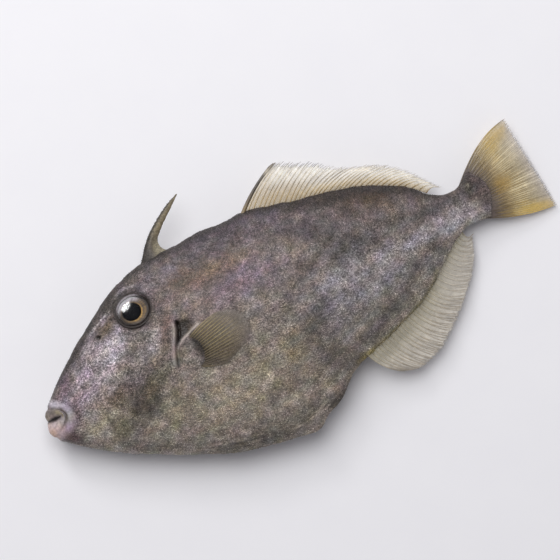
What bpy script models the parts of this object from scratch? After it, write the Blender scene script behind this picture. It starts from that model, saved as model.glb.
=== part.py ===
"""A life-size filefish lying on its right flank, modelled in Blender.

Sizes are millimetres on the fish: x runs from the snout to the tail, y towards the back
and z up from the surface that it lies on. Meshes are made in metres.
"""

import math

import bmesh
import bpy
import numpy as np
from mathutils import Matrix, Vector

MM = 0.001
GAP = 0.3
FIN_GAP = 0.5
SHARP_ANGLE = math.radians(35)

# Side outline: (x, y) along the back and along the belly, without the fins.
BACK = [
    (0, 1.6), (3, 4.6), (10, 11.2), (20, 18.9), (30, 26.0), (45, 35.5), (60, 42.4), (75, 46.3),
    (90, 46.2), (104, 47.1), (116, 46.6), (128, 46.6), (140, 43.9), (150, 41.2), (170, 37.1),
    (190, 30.2), (205, 21.5), (213, 14.2), (221, 11.3), (226, 12.4), (231, 16.6), (236, 20.2),
]
BELLY = [
    (0, -13.8), (5, -18.2), (15, -26.0), (30, -35.7), (45, -43.4), (60, -50.5), (75, -56.9),
    (90, -60.2), (105, -62.9), (114, -63.6), (118, -61.8), (122, -59.0), (131, -55.2),
    (139, -48.0), (146, -44.2), (155, -41.4), (170, -36.4), (190, -28.4), (205, -17.4),
    (215, -10.4), (221, -7.6), (228, -7.4), (236, -9.2),
]

# Half of the body's thickness, and the level at which it is widest.
HALF_WIDTH = [
    (0, 4.4), (4, 5.6), (8, 6.9), (11, 7.5), (14, 7.6), (25, 9.8), (45, 13.6), (60, 16.4),
    (80, 18.8), (95, 19.2), (112, 18.9), (130, 17.6), (150, 15.0), (170, 12.2), (190, 9.2),
    (205, 6.8), (215, 5.3), (222, 4.3), (229, 3.3), (236, 1.7),
]
WIDEST_AT = [
    (0, -4.5), (20, -3), (40, 2), (60, 3), (80, 0), (100, -4), (130, -2), (160, 1), (222, 1.8), (236, 5),
]

# How fast the flanks close in above and below the widest level: 0.5 is an ellipse, more is thinner.
BACK_TAPER = [
    (0, 0.55), (15, 0.62), (50, 0.7), (90, 0.72), (150, 0.72), (190, 0.68), (222, 0.55), (236, 0.5),
]
BELLY_TAPER = [
    (0, 0.5), (15, 0.6), (45, 0.75), (75, 0.92), (100, 1.15), (120, 1.3), (140, 1.05), (165, 0.8),
    (222, 0.55), (236, 0.5),
]
BELLY_LOW = -63.8
EDGE_HALF = 1.2
EDGE_TAPER = 0.4

# Height of the body's middle plane over the surface, which flattens the flank where it rests.
MIDDLE_HEIGHT = [
    (0, 14.4), (20, 15.1), (40, 15.8), (60, 16.2), (130, 16.2), (150, 15.7), (190, 13.0), (225, 10.3),
    (236, 9.4),
]

SNOUT_END = 0.0
TAIL_END = 236.0
STATION_STEP = 5.0
SNOUT_STATIONS = (1.5, 4.0, 7.5, 11.0, 14.0)
POINTS_ROUND = 40

# Parting planes between the nodes of flesh: through the gill slit, and square across the body.
GILL_TOP = (75.0, 14.0)
GILL_LOW = (66.5, -7.0)
SLIT_HALF = (1.1, 3.5)
SLIT_HOLLOW_AT = (77.0, 7.6)
SLIT_HOLLOW_HALF = (4.2, 4.6, 1.6)
TRUNK_PART = 127.0
STALK_PART = 219.6

# Eyes: the rim's middle, its radius and how far it leans towards the back.
EYE_AT = (59.9, 27.0)
EYE_RADIUS = 7.7
EYE_DEPTH = 5.4
EYE_SUNK = 2.9
EYE_LEAN = math.radians(24)
EYE_RIM_RADIUS = 8.3
EYE_RIM_THICKNESS = 1.0
EYE_RIM_SUNK = 0.2
NOSTRIL_AT = (38.7, 22.5)
NOSTRIL_RADIUS = 1.0
NOSTRIL_DEPTH = 2.2
NOSTRIL_RIM = 0.6

# Lips: middle and half sizes of each, and the line where they meet.
UPPER_LIP = ((3.8, -1.0), (4.9, 3.3, 5.3))
LOWER_LIP = ((2.1, -7.8), (5.0, 4.1, 5.6))
MOUTH_LINE = -3.5
MOUTH_GAP = 0.7

# Raised folds on each flank of the head: round the mouth, and along the front of the gill slit.
MOUTH_FOLD = [(0, 4.6, 4.4), (0.25, 9.8, 2.6), (0.5, 12.4, -3.0), (0.75, 10.8, -8.6), (1, 5.6, -11.6)]
GILL_FOLD = [(0, 75.2, 16.4), (0.5, 69.4, 4.6), (1, 64.6, -8.6)]
FOLD_HALF = 1.0
FOLD_AT_ENDS = 0.25
FOLD_SUNK = 0.35
FOLD_POINTS = 12
FOLD_SIDES = 6
FOLD_STEP = 0.01

# First dorsal spine: its front and rear edges from the root to the tip.
SPINE_FRONT = [(0, 71.9, 45.0), (0.3, 80.3, 55.0), (0.55, 88.1, 61.0), (0.8, 96.6, 66.0), (1, 102.2, 68.3)]
SPINE_REAR = [
    (0, 87.0, 45.0), (0.1, 84.6, 48.2), (0.2, 84.2, 51.2), (0.4, 87.9, 56.0), (0.6, 92.6, 60.0),
    (0.8, 97.8, 64.0), (1, 102.6, 68.0),
]
SPINE_HALF = [(0, 1.9), (0.3, 1.5), (1, 0.35)]
SPINE_RINGS = 26
SPINE_SIDES = 8
SPINE_BARB = 0.45
SPINE_BARB_TAPER = 0.6
SPINE_DROOP = 1.5

# Second dorsal fin: root span along the back, how far back each ray reaches, and its outer edge.
DORSAL_ROOT = (128.4, 210.8)
DORSAL_RAYS = 35
DORSAL_REACH = [(128, 21.6), (150, 17.5), (185, 16.5), (200, 11.5), (213, 5.3)]
DORSAL_EDGE = [
    (148, 61.0), (151, 60.9), (160, 56.5), (168, 52.7), (175, 47.2), (183, 43.2), (193, 39.5),
    (200, 35.5), (208, 28.0), (213, 21.5), (218.5, 14.6),
]
DORSAL_DROP = 4.0

# Anal fin: the same along the belly.
ANAL_ROOT = (151.5, 217.5)
ANAL_RAYS = 34
ANAL_REACH = [(151, 13.0), (165, 13.0), (185, 13.6), (200, 12.0), (210, 9.0), (218, 4.4)]
ANAL_EDGE = [
    (164, -56.6), (170, -58.4), (178, -57.2), (185, -54.5), (193, -48.8), (200, -43.0), (208, -35.0),
    (215, -27.0), (219, -20.0), (222, -11.6),
]
ANAL_DROP = 6.5

# Tail fin: root and tip of its rays from the upper edge to the lower one.
TAIL_ROOT = [(0, 236.4, 20.0), (1, 236.4, -9.0)]
TAIL_TIPS = [(0, 260.2, 31.6), (0.12, 260.8, 25.0), (0.5, 262.9, 6.0), (0.8, 264.2, -7.0), (1, 265.0, -16.6)]
TAIL_RAYS = 26
TAIL_BOW = 4.4
TAIL_TIP_HEIGHT = (7.4, 2.2)

# Pectoral fins: fans on the flanks, from the root lobe's middle. The lower one lies in a shallow hollow.
FAN_MIDDLE = (76.6, -3.4)
LOBE_HALF = (6.6, 8.2, 2.6)
FAN_TIPS = [(0, 96.0, 8.9), (0.2, 103.4, 6.8), (0.45, 107.6, 1.0), (0.7, 105.6, -7.4), (1, 91.0, -15.0)]
FAN_ANGLES = (math.radians(62), math.radians(-74))
FAN_RAYS = 14
FAN_LIFT = 0.45
HOLLOW_ROOF = 2.1
HOLLOW_FLOOR = -1.0
HOLLOW_REACH = (0.88, 1.07)
HOLLOW_SPREAD = 1.3
HOLLOW_POINTS = 13

# Every fin: membrane thickness, ray thickness at root and tip, rows of points from root to tip.
MEMBRANE = 0.55
RAY_AT_ROOT = 1.3
RAY_AT_TIP = 0.75
FIN_ROWS = 5
RAY_OVERHANG = 0.05
LEADING_RAY = 1.9

# The pelvic stub at the belly's rear corner.
STUB_AT = (114.6, -62.2)
STUB_HALF = (4.6, 1.5, 1.5)
STUB_LEAN = math.radians(12)

# The box's middle, which becomes the origin.
LIP_FRONT = LOWER_LIP[0][0] - LOWER_LIP[1][0]
MIDDLE = Vector(((LIP_FRONT + TAIL_TIPS[-1][1]) / 2, (SPINE_FRONT[-1][2] + BELLY_LOW) / 2, 0))

SKIN = ("skin", (0.16, 0.135, 0.13), 0.55)
LIP = ("lip_skin", (0.42, 0.33, 0.33), 0.4)
FIN = ("fin_membrane", (0.56, 0.48, 0.3), 0.45)
HORN = ("spine_horn", (0.3, 0.25, 0.17), 0.6)
EYE = ("eye", (0.03, 0.025, 0.02), 0.1)


def smooth_curve(points, x):
    """The value at x on the smooth curve through the points, whose first numbers are positions."""
    table = np.array(points, float)
    positions, values = table[:, 0], table[:, 1:]
    slopes = np.gradient(values, positions, axis=0)
    x = min(max(x, positions[0]), positions[-1])
    i = min(max(int(np.searchsorted(positions, x)) - 1, 0), len(positions) - 2)
    width = positions[i + 1] - positions[i]
    t = (x - positions[i]) / width
    value = (
        (2 * t**3 - 3 * t**2 + 1) * values[i]
        + (t**3 - 2 * t**2 + t) * width * slopes[i]
        + (3 * t**2 - 2 * t**3) * values[i + 1]
        + (t**3 - t**2) * width * slopes[i + 1]
    )
    return float(value[0]) if len(value) == 1 else value


def half_thickness(x, share, upper):
    """Half of the body's thickness at x, a share of the way from its widest level to its edge."""
    taper = smooth_curve(BACK_TAPER if upper else BELLY_TAPER, x)
    left = max(1 - share * share, 0)
    return EDGE_HALF * left**EDGE_TAPER + (smooth_curve(HALF_WIDTH, x) - EDGE_HALF) * left**taper


def flank_half(x, y):
    """Half of the body's thickness at a place seen from the side."""
    widest = smooth_curve(WIDEST_AT, x)
    edge = smooth_curve(BACK if y > widest else BELLY, x)
    return half_thickness(x, min((y - widest) / (edge - widest), 1), y > widest)


def flank_height(x, y):
    """Height of the upper, left flank at a place seen from the side."""
    return smooth_curve(MIDDLE_HEIGHT, x) + flank_half(x, y)


def section(x):
    """Points round the body at x: from the back down the left flank and up the right one."""
    widest = smooth_curve(WIDEST_AT, x)
    middle = smooth_curve(MIDDLE_HEIGHT, x)
    points = []
    for i in range(POINTS_ROUND):
        angle = 2 * math.pi * i / POINTS_ROUND
        upper = math.cos(angle) > 0
        edge = smooth_curve(BACK if upper else BELLY, x)
        share = abs(math.cos(angle))
        side = math.copysign(1, math.sin(angle)) if i % (POINTS_ROUND // 2) else 0
        height = middle + side * half_thickness(x, share, upper)
        points.append((x, widest + share * (edge - widest), max(height, 0)))
    return points


def material(finish):
    """The plain material of a finish, made once."""
    name, colour, roughness = finish
    found = bpy.data.materials.get(name)
    if found:
        return found
    made = bpy.data.materials.new(name)
    made.use_nodes = True
    shader = made.node_tree.nodes["Principled BSDF"]
    shader.inputs["Base Color"].default_value = (*colour, 1)
    shader.inputs["Roughness"].default_value = roughness
    shader.inputs["Metallic"].default_value = 0
    made.diffuse_color = (*colour, 1)
    return made


def place(name, bm, finish=SKIN):
    """An object from a mesh in fish millimetres, shaded smooth and set about the origin in metres."""
    bmesh.ops.translate(bm, verts=bm.verts, vec=-MIDDLE)
    bmesh.ops.scale(bm, verts=bm.verts, vec=(MM, MM, MM))
    mesh = bpy.data.meshes.new(name)
    bm.to_mesh(mesh)
    bm.free()
    mesh.shade_smooth()
    mesh.set_sharp_from_angle(angle=SHARP_ANGLE)
    mesh.materials.append(material(finish))
    obj = bpy.data.objects.new(name, mesh)
    FISH.objects.link(obj)
    return obj


def rings_to_mesh(rings):
    """A closed mesh lofted through rings of points, with a flat cap at each end."""
    bm = bmesh.new()
    rows = [[bm.verts.new(point) for point in ring] for ring in rings]
    for near, far in zip(rows, rows[1:]):
        for i in range(len(near)):
            j = (i + 1) % len(near)
            bm.faces.new((near[i], near[j], far[j], far[i]))
    bm.faces.new(reversed(rows[0]))
    bm.faces.new(rows[-1])
    bmesh.ops.recalc_face_normals(bm, faces=bm.faces)
    return bm


def stations():
    """Places along the body where it has a section, closer together on the snout."""
    regular = np.arange(SNOUT_STATIONS[-1] + STATION_STEP, TAIL_END - STATION_STEP / 2, STATION_STEP)
    return [SNOUT_END, *SNOUT_STATIONS, *(float(x) for x in regular), TAIL_END]


def flesh(name, keep_beyond=None, keep_before=None):
    """A length of the body between two parting planes, each given by a point and its normal."""
    bm = rings_to_mesh([section(x) for x in stations()])
    for plane, side in ((keep_beyond, 1), (keep_before, -1)):
        if plane is None:
            continue
        point, normal = plane
        shifted = point + normal * side * GAP / 2
        everything = [*bm.verts, *bm.edges, *bm.faces]
        bmesh.ops.bisect_plane(
            bm, geom=everything, plane_co=shifted, plane_no=normal * side, clear_inner=True, dist=1e-4
        )
        open_edges = [edge for edge in bm.edges if edge.is_boundary]
        bmesh.ops.contextual_create(bm, geom=open_edges)
    bmesh.ops.recalc_face_normals(bm, faces=bm.faces)
    return place(name, bm)


def ball(half_sizes, matrix, segments=24, rings=14):
    """A ball of three half sizes, turned and moved by a matrix."""
    bm = bmesh.new()
    bmesh.ops.create_uvsphere(bm, u_segments=segments, v_segments=rings, radius=1)
    bmesh.ops.transform(bm, matrix=matrix @ Matrix.Diagonal((*half_sizes, 1)), verts=bm.verts)
    return bm


def torus(radius, thickness, matrix, around=28, across=7):
    """A ring of round section, turned and moved by a matrix."""
    bm = bmesh.new()
    bmesh.ops.create_circle(bm, segments=across, radius=thickness)
    turn = Matrix.Translation((radius, 0, 0)) @ Matrix.Rotation(math.pi / 2, 4, "X")
    bmesh.ops.transform(bm, matrix=turn, verts=bm.verts)
    bmesh.ops.spin(
        bm, geom=[*bm.verts, *bm.edges], cent=(0, 0, 0), axis=(0, 0, 1), angle=2 * math.pi,
        steps=around, use_merge=True,
    )
    bmesh.ops.remove_doubles(bm, verts=bm.verts, dist=1e-4)
    bmesh.ops.recalc_face_normals(bm, faces=bm.faces)
    bmesh.ops.transform(bm, matrix=matrix, verts=bm.verts)
    return bm


def on_flank(at, side, lean=0.0, out=0.0):
    """A matrix at a place on a flank, its z axis pointing out; side is 1 for the left, -1 for the right."""
    x, y = at
    height = smooth_curve(MIDDLE_HEIGHT, x) + side * flank_half(x, y)
    turn = Matrix.Rotation(-side * lean, 4, "X")
    flip = Matrix.Identity(4) if side > 0 else Matrix.Rotation(math.pi, 4, "X")
    return Matrix.Translation((x, y, height)) @ turn @ flip @ Matrix.Translation((0, 0, out))


def keep_largest_surface(obj):
    """Leaves only the closed surface with the most faces."""
    bm = bmesh.new()
    bm.from_mesh(obj.data)
    unseen = set(bm.faces)
    surfaces = []
    while unseen:
        border = [unseen.pop()]
        surface = set(border)
        while border:
            face = border.pop()
            for edge in face.edges:
                for neighbour in edge.link_faces:
                    if neighbour in unseen:
                        unseen.discard(neighbour)
                        surface.add(neighbour)
                        border.append(neighbour)
        surfaces.append(surface)
    largest = max(surfaces, key=len)
    scraps = [face for surface in surfaces if surface is not largest for face in surface]
    bmesh.ops.delete(bm, geom=scraps, context="FACES")
    bm.to_mesh(obj.data)
    bm.free()


def combine(obj, operation, meshes):
    """Joins or cuts an object with closed meshes, in one Boolean that is applied."""
    helpers = bpy.data.collections.new("helpers")
    bpy.context.scene.collection.children.link(helpers)
    for bm in meshes:
        helper = place("helper", bm)
        FISH.objects.unlink(helper)
        helpers.objects.link(helper)
        helper.hide_render = True
        helper.display_type = "WIRE"
    modifier = obj.modifiers.new(operation.lower(), "BOOLEAN")
    modifier.operation = operation
    modifier.operand_type = "COLLECTION"
    modifier.collection = helpers
    modifier.solver = "EXACT"
    graph = bpy.context.evaluated_depsgraph_get()
    made = bpy.data.meshes.new_from_object(obj.evaluated_get(graph))
    obj.modifiers.clear()
    obj.data = made
    for helper in list(helpers.objects):
        bpy.data.objects.remove(helper)
    bpy.data.collections.remove(helpers)
    keep_largest_surface(obj)


def fold(route, side):
    """A low raised fold along a route of places on a flank, thin at both ends."""
    rings = []
    for i in range(FOLD_POINTS):
        along = i / (FOLD_POINTS - 1)
        here = Vector(smooth_curve(route, along))
        behind = Vector(smooth_curve(route, along - FOLD_STEP))
        ahead = (Vector(smooth_curve(route, along + FOLD_STEP)) - behind).normalized()
        across = Vector((ahead.y, -ahead.x))
        half = FOLD_HALF * (FOLD_AT_ENDS + (1 - FOLD_AT_ENDS) * math.sin(math.pi * along))
        height = smooth_curve(MIDDLE_HEIGHT, here.x) + side * (flank_half(*here) - FOLD_SUNK)
        ring = []
        for corner in range(FOLD_SIDES):
            angle = 2 * math.pi * corner / FOLD_SIDES
            beside = here + across * half * math.cos(angle)
            ring.append((beside.x, beside.y, max(height + half * math.sin(angle), GAP)))
        rings.append(ring)
    return rings_to_mesh(rings)


def lip_ball(lip, grown=0.0):
    """A lip's whole ball, grown by a distance."""
    (x, y), half_sizes = lip
    middle = Matrix.Translation((x, y, smooth_curve(MIDDLE_HEIGHT, x)))
    return ball([size + grown for size in half_sizes], middle, segments=20, rings=12)


def gill_plane():
    """The parting plane through both ends of the gill slit, square to the side view."""
    along = Vector((GILL_TOP[0] - GILL_LOW[0], GILL_TOP[1] - GILL_LOW[1], 0)).normalized()
    return Vector((*GILL_LOW, 0)), along.cross(Vector((0, 0, 1)))


def gill_cutters():
    """A narrow slit down each flank, with a shallow hollow behind it."""
    middle = ((GILL_TOP[0] + GILL_LOW[0]) / 2, (GILL_TOP[1] + GILL_LOW[1]) / 2)
    length = math.dist(GILL_TOP, GILL_LOW)
    angle = math.atan2(GILL_TOP[1] - GILL_LOW[1], GILL_TOP[0] - GILL_LOW[0])
    cutters = []
    for side in (1, -1):
        turn = Matrix.Rotation(side * angle, 4, "Z")
        slit = on_flank(middle, side) @ turn
        cutters.append(ball((length / 2, *SLIT_HALF), slit, segments=16, rings=8))
        cutters.append(ball(SLIT_HOLLOW_HALF, on_flank(SLIT_HOLLOW_AT, side), segments=16, rings=8))
    return cutters


def eye_ball(side, grown=0.0):
    """An eye's ball, sunk in its socket."""
    sizes = (EYE_RADIUS + grown, EYE_RADIUS + grown, EYE_DEPTH + grown)
    return ball(sizes, on_flank(EYE_AT, side, EYE_LEAN, -EYE_SUNK), segments=24, rings=11)


def make_head():
    """The head up to the gill slit, with eye rims, nostrils, and sockets for the eyes and lips."""
    head = flesh("head", keep_before=gill_plane())
    rims = []
    for side in (1, -1):
        socket = on_flank(EYE_AT, side, EYE_LEAN, -EYE_RIM_SUNK)
        rims.append(torus(EYE_RIM_RADIUS, EYE_RIM_THICKNESS, socket))
        pit = on_flank(NOSTRIL_AT, side, EYE_LEAN)
        rims.append(torus(NOSTRIL_RADIUS + NOSTRIL_RIM / 2, NOSTRIL_RIM, pit, around=14, across=6))
        rims.append(fold(MOUTH_FOLD, side))
        rims.append(fold(GILL_FOLD, side))
    combine(head, "UNION", rims)
    cutters = [eye_ball(side, GAP) for side in (1, -1)]
    for side in (1, -1):
        pit = on_flank(NOSTRIL_AT, side, EYE_LEAN)
        cutters.append(ball((NOSTRIL_RADIUS, NOSTRIL_RADIUS, NOSTRIL_DEPTH), pit, segments=12, rings=8))
    cutters += [lip_ball(lip, GAP) for lip in (UPPER_LIP, LOWER_LIP)]
    cutters += [*gill_cutters(), spine_mesh(GAP)]
    combine(head, "DIFFERENCE", cutters)


def make_eyes():
    """Both eyes, each a flattened ball."""
    for name, side in (("eye_left", 1), ("eye_right", -1)):
        place(name, eye_ball(side), EYE)


def make_lips():
    """The upper and lower lip, cut flat where they face each other across the mouth."""
    for name, lip, side in (("upper_lip", UPPER_LIP, 1), ("lower_lip", LOWER_LIP, -1)):
        bm = lip_ball(lip)
        level = Vector((0, MOUTH_LINE + side * MOUTH_GAP / 2, 0))
        everything = [*bm.verts, *bm.edges, *bm.faces]
        bmesh.ops.bisect_plane(
            bm, geom=everything, plane_co=level, plane_no=(0, side, 0), clear_inner=True, dist=1e-4
        )
        bmesh.ops.contextual_create(bm, geom=[edge for edge in bm.edges if edge.is_boundary])
        bmesh.ops.recalc_face_normals(bm, faces=bm.faces)
        place(name, bm, LIP)


def make_trunk():
    """The trunk in two lengths; the front one has the upper fin's root lobe and the lower fin's hollow."""
    across = Vector((1, 0, 0))
    front_end = (Vector((TRUNK_PART, 0, 0)), across)
    rear_end = (Vector((STALK_PART, 0, 0)), across)
    front = flesh("trunk_front", keep_beyond=gill_plane(), keep_before=front_end)
    combine(front, "UNION", [ball(LOBE_HALF, on_flank(FAN_MIDDLE, 1), segments=24, rings=12)])
    combine(front, "DIFFERENCE", [*gill_cutters(), lower_fin_hollow(), stub_ball(GAP)])
    flesh("trunk_rear", keep_beyond=front_end, keep_before=rear_end)
    flesh("tail_stalk", keep_beyond=rear_end)


def spine_mesh(grown=0.0):
    """The first dorsal spine: a tapered blade with a rough, barbed front edge, grown by a distance."""
    rings = []
    for row in range(SPINE_RINGS):
        along = row / (SPINE_RINGS - 1)
        front = Vector((*smooth_curve(SPINE_FRONT, along), 0))
        rear = Vector((*smooth_curve(SPINE_REAR, along), 0))
        if row % 2 and row < SPINE_RINGS - 1:
            front += (front - rear).normalized() * SPINE_BARB * (1 - SPINE_BARB_TAPER * along)
        middle = (front + rear) / 2
        reach = (front - rear) / 2
        reach += reach.normalized() * grown
        half = smooth_curve(SPINE_HALF, along) + grown
        height = smooth_curve(MIDDLE_HEIGHT, middle.x) - SPINE_DROOP * along
        ring = []
        for i in range(SPINE_SIDES):
            angle = 2 * math.pi * i / SPINE_SIDES
            point = middle + reach * math.cos(angle)
            ring.append((point.x, point.y - grown, height + half * math.sin(angle)))
        rings.append(ring)
    return rings_to_mesh(rings)


def fin(name, ray_line, rays, lift=None, leading=1.0, finish=FIN):
    """A ridged fin. ray_line(u, v) is the point a share v along the line at a share u across the fin."""
    bm = bmesh.new()
    columns = 2 * rays - 1
    weights = []
    rows = []
    for row in range(FIN_ROWS + 1):
        line = []
        for column in range(columns):
            on_ray = column % 2 == 0
            reach = 1 if on_ray else 1 - RAY_OVERHANG
            v = row / FIN_ROWS * reach
            point = ray_line(column / (columns - 1), v)
            line.append(bm.verts.new(point))
            ray = RAY_AT_ROOT + (RAY_AT_TIP - RAY_AT_ROOT) * v
            if column == 0:
                ray *= leading
            weights.append(ray if on_ray else MEMBRANE)
        rows.append(line)
    for near, far in zip(rows, rows[1:]):
        for i in range(columns - 1):
            bm.faces.new((near[i], near[i + 1], far[i + 1]))
            bm.faces.new((near[i], far[i + 1], far[i]))
    bm.normal_update()
    if sum(face.normal.z for face in bm.faces) < 0:
        bmesh.ops.reverse_faces(bm, faces=bm.faces)
    obj = place(name, bm, finish)
    thickest = max(weights)
    group = obj.vertex_groups.new(name="thickness")
    for i, thickness in enumerate(weights):
        group.add([i], thickness / thickest, "REPLACE")
    shell = obj.modifiers.new("thickness", "SOLIDIFY")
    shell.thickness = thickest * MM
    shell.vertex_group = group.name
    shell.offset = 0 if lift is None else lift
    return obj


def edge_fin_line(outline, root, reach, edge, drop, side):
    """The ray lines of a fin along the back (side 1) or the belly (side -1)."""
    start, end = root

    def line(u, v):
        x = start + (end - start) * u
        rise = smooth_curve(outline, x + 1) - smooth_curve(outline, x - 1)
        clear = FIN_GAP * math.hypot(2, rise) / 2
        foot = Vector((x, smooth_curve(outline, x) + side * clear, smooth_curve(MIDDLE_HEIGHT, x)))
        tip_x = x + smooth_curve(reach, x)
        tip = Vector((tip_x, smooth_curve(edge, tip_x), foot.z - drop))
        return foot.lerp(tip, v)

    return line


def tail_line(u, v):
    """A ray line of the tail fin, bowed outwards near its upper and lower edge."""
    foot = Vector((*smooth_curve(TAIL_ROOT, u), smooth_curve(MIDDLE_HEIGHT, TAIL_END)))
    height = TAIL_TIP_HEIGHT[0] + (TAIL_TIP_HEIGHT[1] - TAIL_TIP_HEIGHT[0]) * u
    tip = Vector((*smooth_curve(TAIL_TIPS, u), height))
    point = foot.lerp(tip, v)
    point.y += 2 * v * (1 - v) * TAIL_BOW * (1 - 2 * u) ** 3
    return point


def fan_line(u, v):
    """A ray line of a pectoral fin, seen from the side."""
    angle = FAN_ANGLES[0] + (FAN_ANGLES[1] - FAN_ANGLES[0]) * u
    foot = Vector((
        FAN_MIDDLE[0] + (LOBE_HALF[0] + 2 * GAP) * math.cos(angle),
        FAN_MIDDLE[1] + (LOBE_HALF[1] + 2 * GAP) * math.sin(angle),
    ))
    tip = Vector(smooth_curve(FAN_TIPS, min(max(u, 0), 1)))
    return foot + (tip - foot) * v


def upper_fan_line(u, v):
    """A ray line of the upper pectoral fin, lying on the flank."""
    x, y = fan_line(u, v)
    return Vector((x, y, flank_height(x, y) + FAN_LIFT))


def lower_fan_line(u, v):
    """A ray line of the lower pectoral fin, pressed flat under the body."""
    x, y = fan_line(u, v)
    return Vector((x, y, FAN_LIFT))


def lower_fin_hollow():
    """The hollow in the flank that the lower pectoral fin lies in, a little wider than the fin."""
    outline = []
    for v, reach in ((0, HOLLOW_REACH[0]), (1, HOLLOW_REACH[1])):
        shares = np.linspace(v, 1 - v, HOLLOW_POINTS)
        for spoke in (fan_line(u, v) - Vector(FAN_MIDDLE) for u in shares):
            angle = math.atan2(spoke.y, spoke.x) * HOLLOW_SPREAD
            direction = Vector((math.cos(angle), math.sin(angle)))
            outline.append(Vector(FAN_MIDDLE) + spoke.length * reach * direction)
    bm = bmesh.new()
    face = bm.faces.new([bm.verts.new((x, y, HOLLOW_FLOOR)) for x, y in outline])
    raised = bmesh.ops.extrude_face_region(bm, geom=[face])
    corners = [item for item in raised["geom"] if isinstance(item, bmesh.types.BMVert)]
    bmesh.ops.translate(bm, verts=corners, vec=(0, 0, HOLLOW_ROOF - HOLLOW_FLOOR))
    bmesh.ops.recalc_face_normals(bm, faces=bm.faces)
    return bm


def make_fins():
    """The second dorsal, anal, tail and pectoral fins."""
    dorsal = edge_fin_line(BACK, DORSAL_ROOT, DORSAL_REACH, DORSAL_EDGE, DORSAL_DROP, 1)
    anal = edge_fin_line(BELLY, ANAL_ROOT, ANAL_REACH, ANAL_EDGE, ANAL_DROP, -1)
    fin("dorsal_fin", dorsal, DORSAL_RAYS, leading=LEADING_RAY)
    fin("anal_fin", anal, ANAL_RAYS)
    fin("caudal_fin", tail_line, TAIL_RAYS)
    fin("pectoral_fin_left", upper_fan_line, FAN_RAYS, lift=1)
    fin("pectoral_fin_right", lower_fan_line, FAN_RAYS, lift=1)


def stub_ball(grown=0.0):
    """The small stub of the pelvis at the belly's rear corner."""
    x, y = STUB_AT
    matrix = Matrix.Translation((x, y, smooth_curve(MIDDLE_HEIGHT, x))) @ Matrix.Rotation(STUB_LEAN, 4, "Z")
    return ball([size + grown for size in STUB_HALF], matrix, segments=14, rings=8)


for leftover in list(bpy.data.objects):
    bpy.data.objects.remove(leftover)
FISH = bpy.data.collections.new("filefish")
bpy.context.scene.collection.children.link(FISH)
make_head()
make_eyes()
make_lips()
make_trunk()
place("dorsal_spine", spine_mesh(), HORN)
make_fins()
place("pelvic_stub", stub_ball())
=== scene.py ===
"""The looks of a life-size filefish that lies on its right flank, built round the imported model.

Sizes are millimetres on the fish: x runs from the snout to the tail, y towards the back and z up
from the floor. Every finished mesh is in metres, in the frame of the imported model.
"""

import logging
import math
from dataclasses import dataclass, field
from enum import Enum

import bpy
import numpy as np
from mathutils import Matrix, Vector


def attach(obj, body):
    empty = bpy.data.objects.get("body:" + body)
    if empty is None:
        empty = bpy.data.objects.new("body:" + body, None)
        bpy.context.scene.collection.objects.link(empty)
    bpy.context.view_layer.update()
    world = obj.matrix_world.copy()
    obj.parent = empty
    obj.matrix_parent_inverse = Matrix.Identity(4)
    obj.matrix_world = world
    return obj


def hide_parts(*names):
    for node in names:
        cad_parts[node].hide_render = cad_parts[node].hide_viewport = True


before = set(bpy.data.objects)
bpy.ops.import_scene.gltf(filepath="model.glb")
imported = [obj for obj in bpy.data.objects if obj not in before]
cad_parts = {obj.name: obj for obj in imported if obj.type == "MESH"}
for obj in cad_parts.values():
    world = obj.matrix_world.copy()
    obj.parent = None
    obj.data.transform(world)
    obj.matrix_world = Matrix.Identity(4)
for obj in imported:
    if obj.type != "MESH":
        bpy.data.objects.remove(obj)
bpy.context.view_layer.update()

LOG = logging.getLogger("filefish")
MM = 0.001
BODY = "root"
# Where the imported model's origin lies on the fish.
MIDDLE = np.array((131.05, 2.25, 0.0))
# How far the skin lies inside the solids, which leaves room for its spinules.
COAT_DEPTH = 0.25
# The places along the fish where one piece of the coat ends and the next one starts.
COAT_PARTS = (52.0, 88.0, 122.0, 164.0)
ROUTE_STEPS = 32

Array = np.ndarray
Tree = bpy.types.NodeTree
Socket = bpy.types.NodeSocket
Material = bpy.types.Material
Object = bpy.types.Object


def linear(colour: str) -> tuple[float, float, float, float]:
    """A colour of a hex sRGB name, such as 7b6f6b, as linear red, green, blue and 1."""
    parts = (int(colour[i : i + 2], 16) / 255 for i in (0, 2, 4))
    return (*((c / 12.92 if c <= 0.04045 else ((c + 0.055) / 1.055) ** 2.4) for c in parts), 1.0)


def ramp(value: Array, start: float, end: float) -> Array:
    """A smooth step from 0 at start to 1 at end; start may be the larger."""
    t = np.clip((value - start) / (end - start), 0, 1)
    return t * t * (3 - 2 * t)


def mound(value: Array, centre: float, width: float) -> Array:
    """A soft mound, 1 at centre and close to 0 from about twice the width away."""
    return np.exp(-(((value - centre) / width) ** 2))


def hermite(
    t: Array, near: Array, far: Array, near_slope: Array, far_slope: Array, width: Array | float = 1.0
) -> Array:
    """A smooth curve from one value to the next.

    Args:
        t: the share of the way, 0 to 1.
        near: the value at its start.
        far: the value at its end.
        near_slope: the slope at its start.
        far_slope: the slope at its end.
        width: the distance from start to end.

    Returns:
        The value at each share.
    """
    return (
        (2 * t**3 - 3 * t**2 + 1) * near
        + (t**3 - 2 * t**2 + t) * width * near_slope
        + (3 * t**2 - 2 * t**3) * far
        + (t**3 - t**2) * width * far_slope
    )


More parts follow.
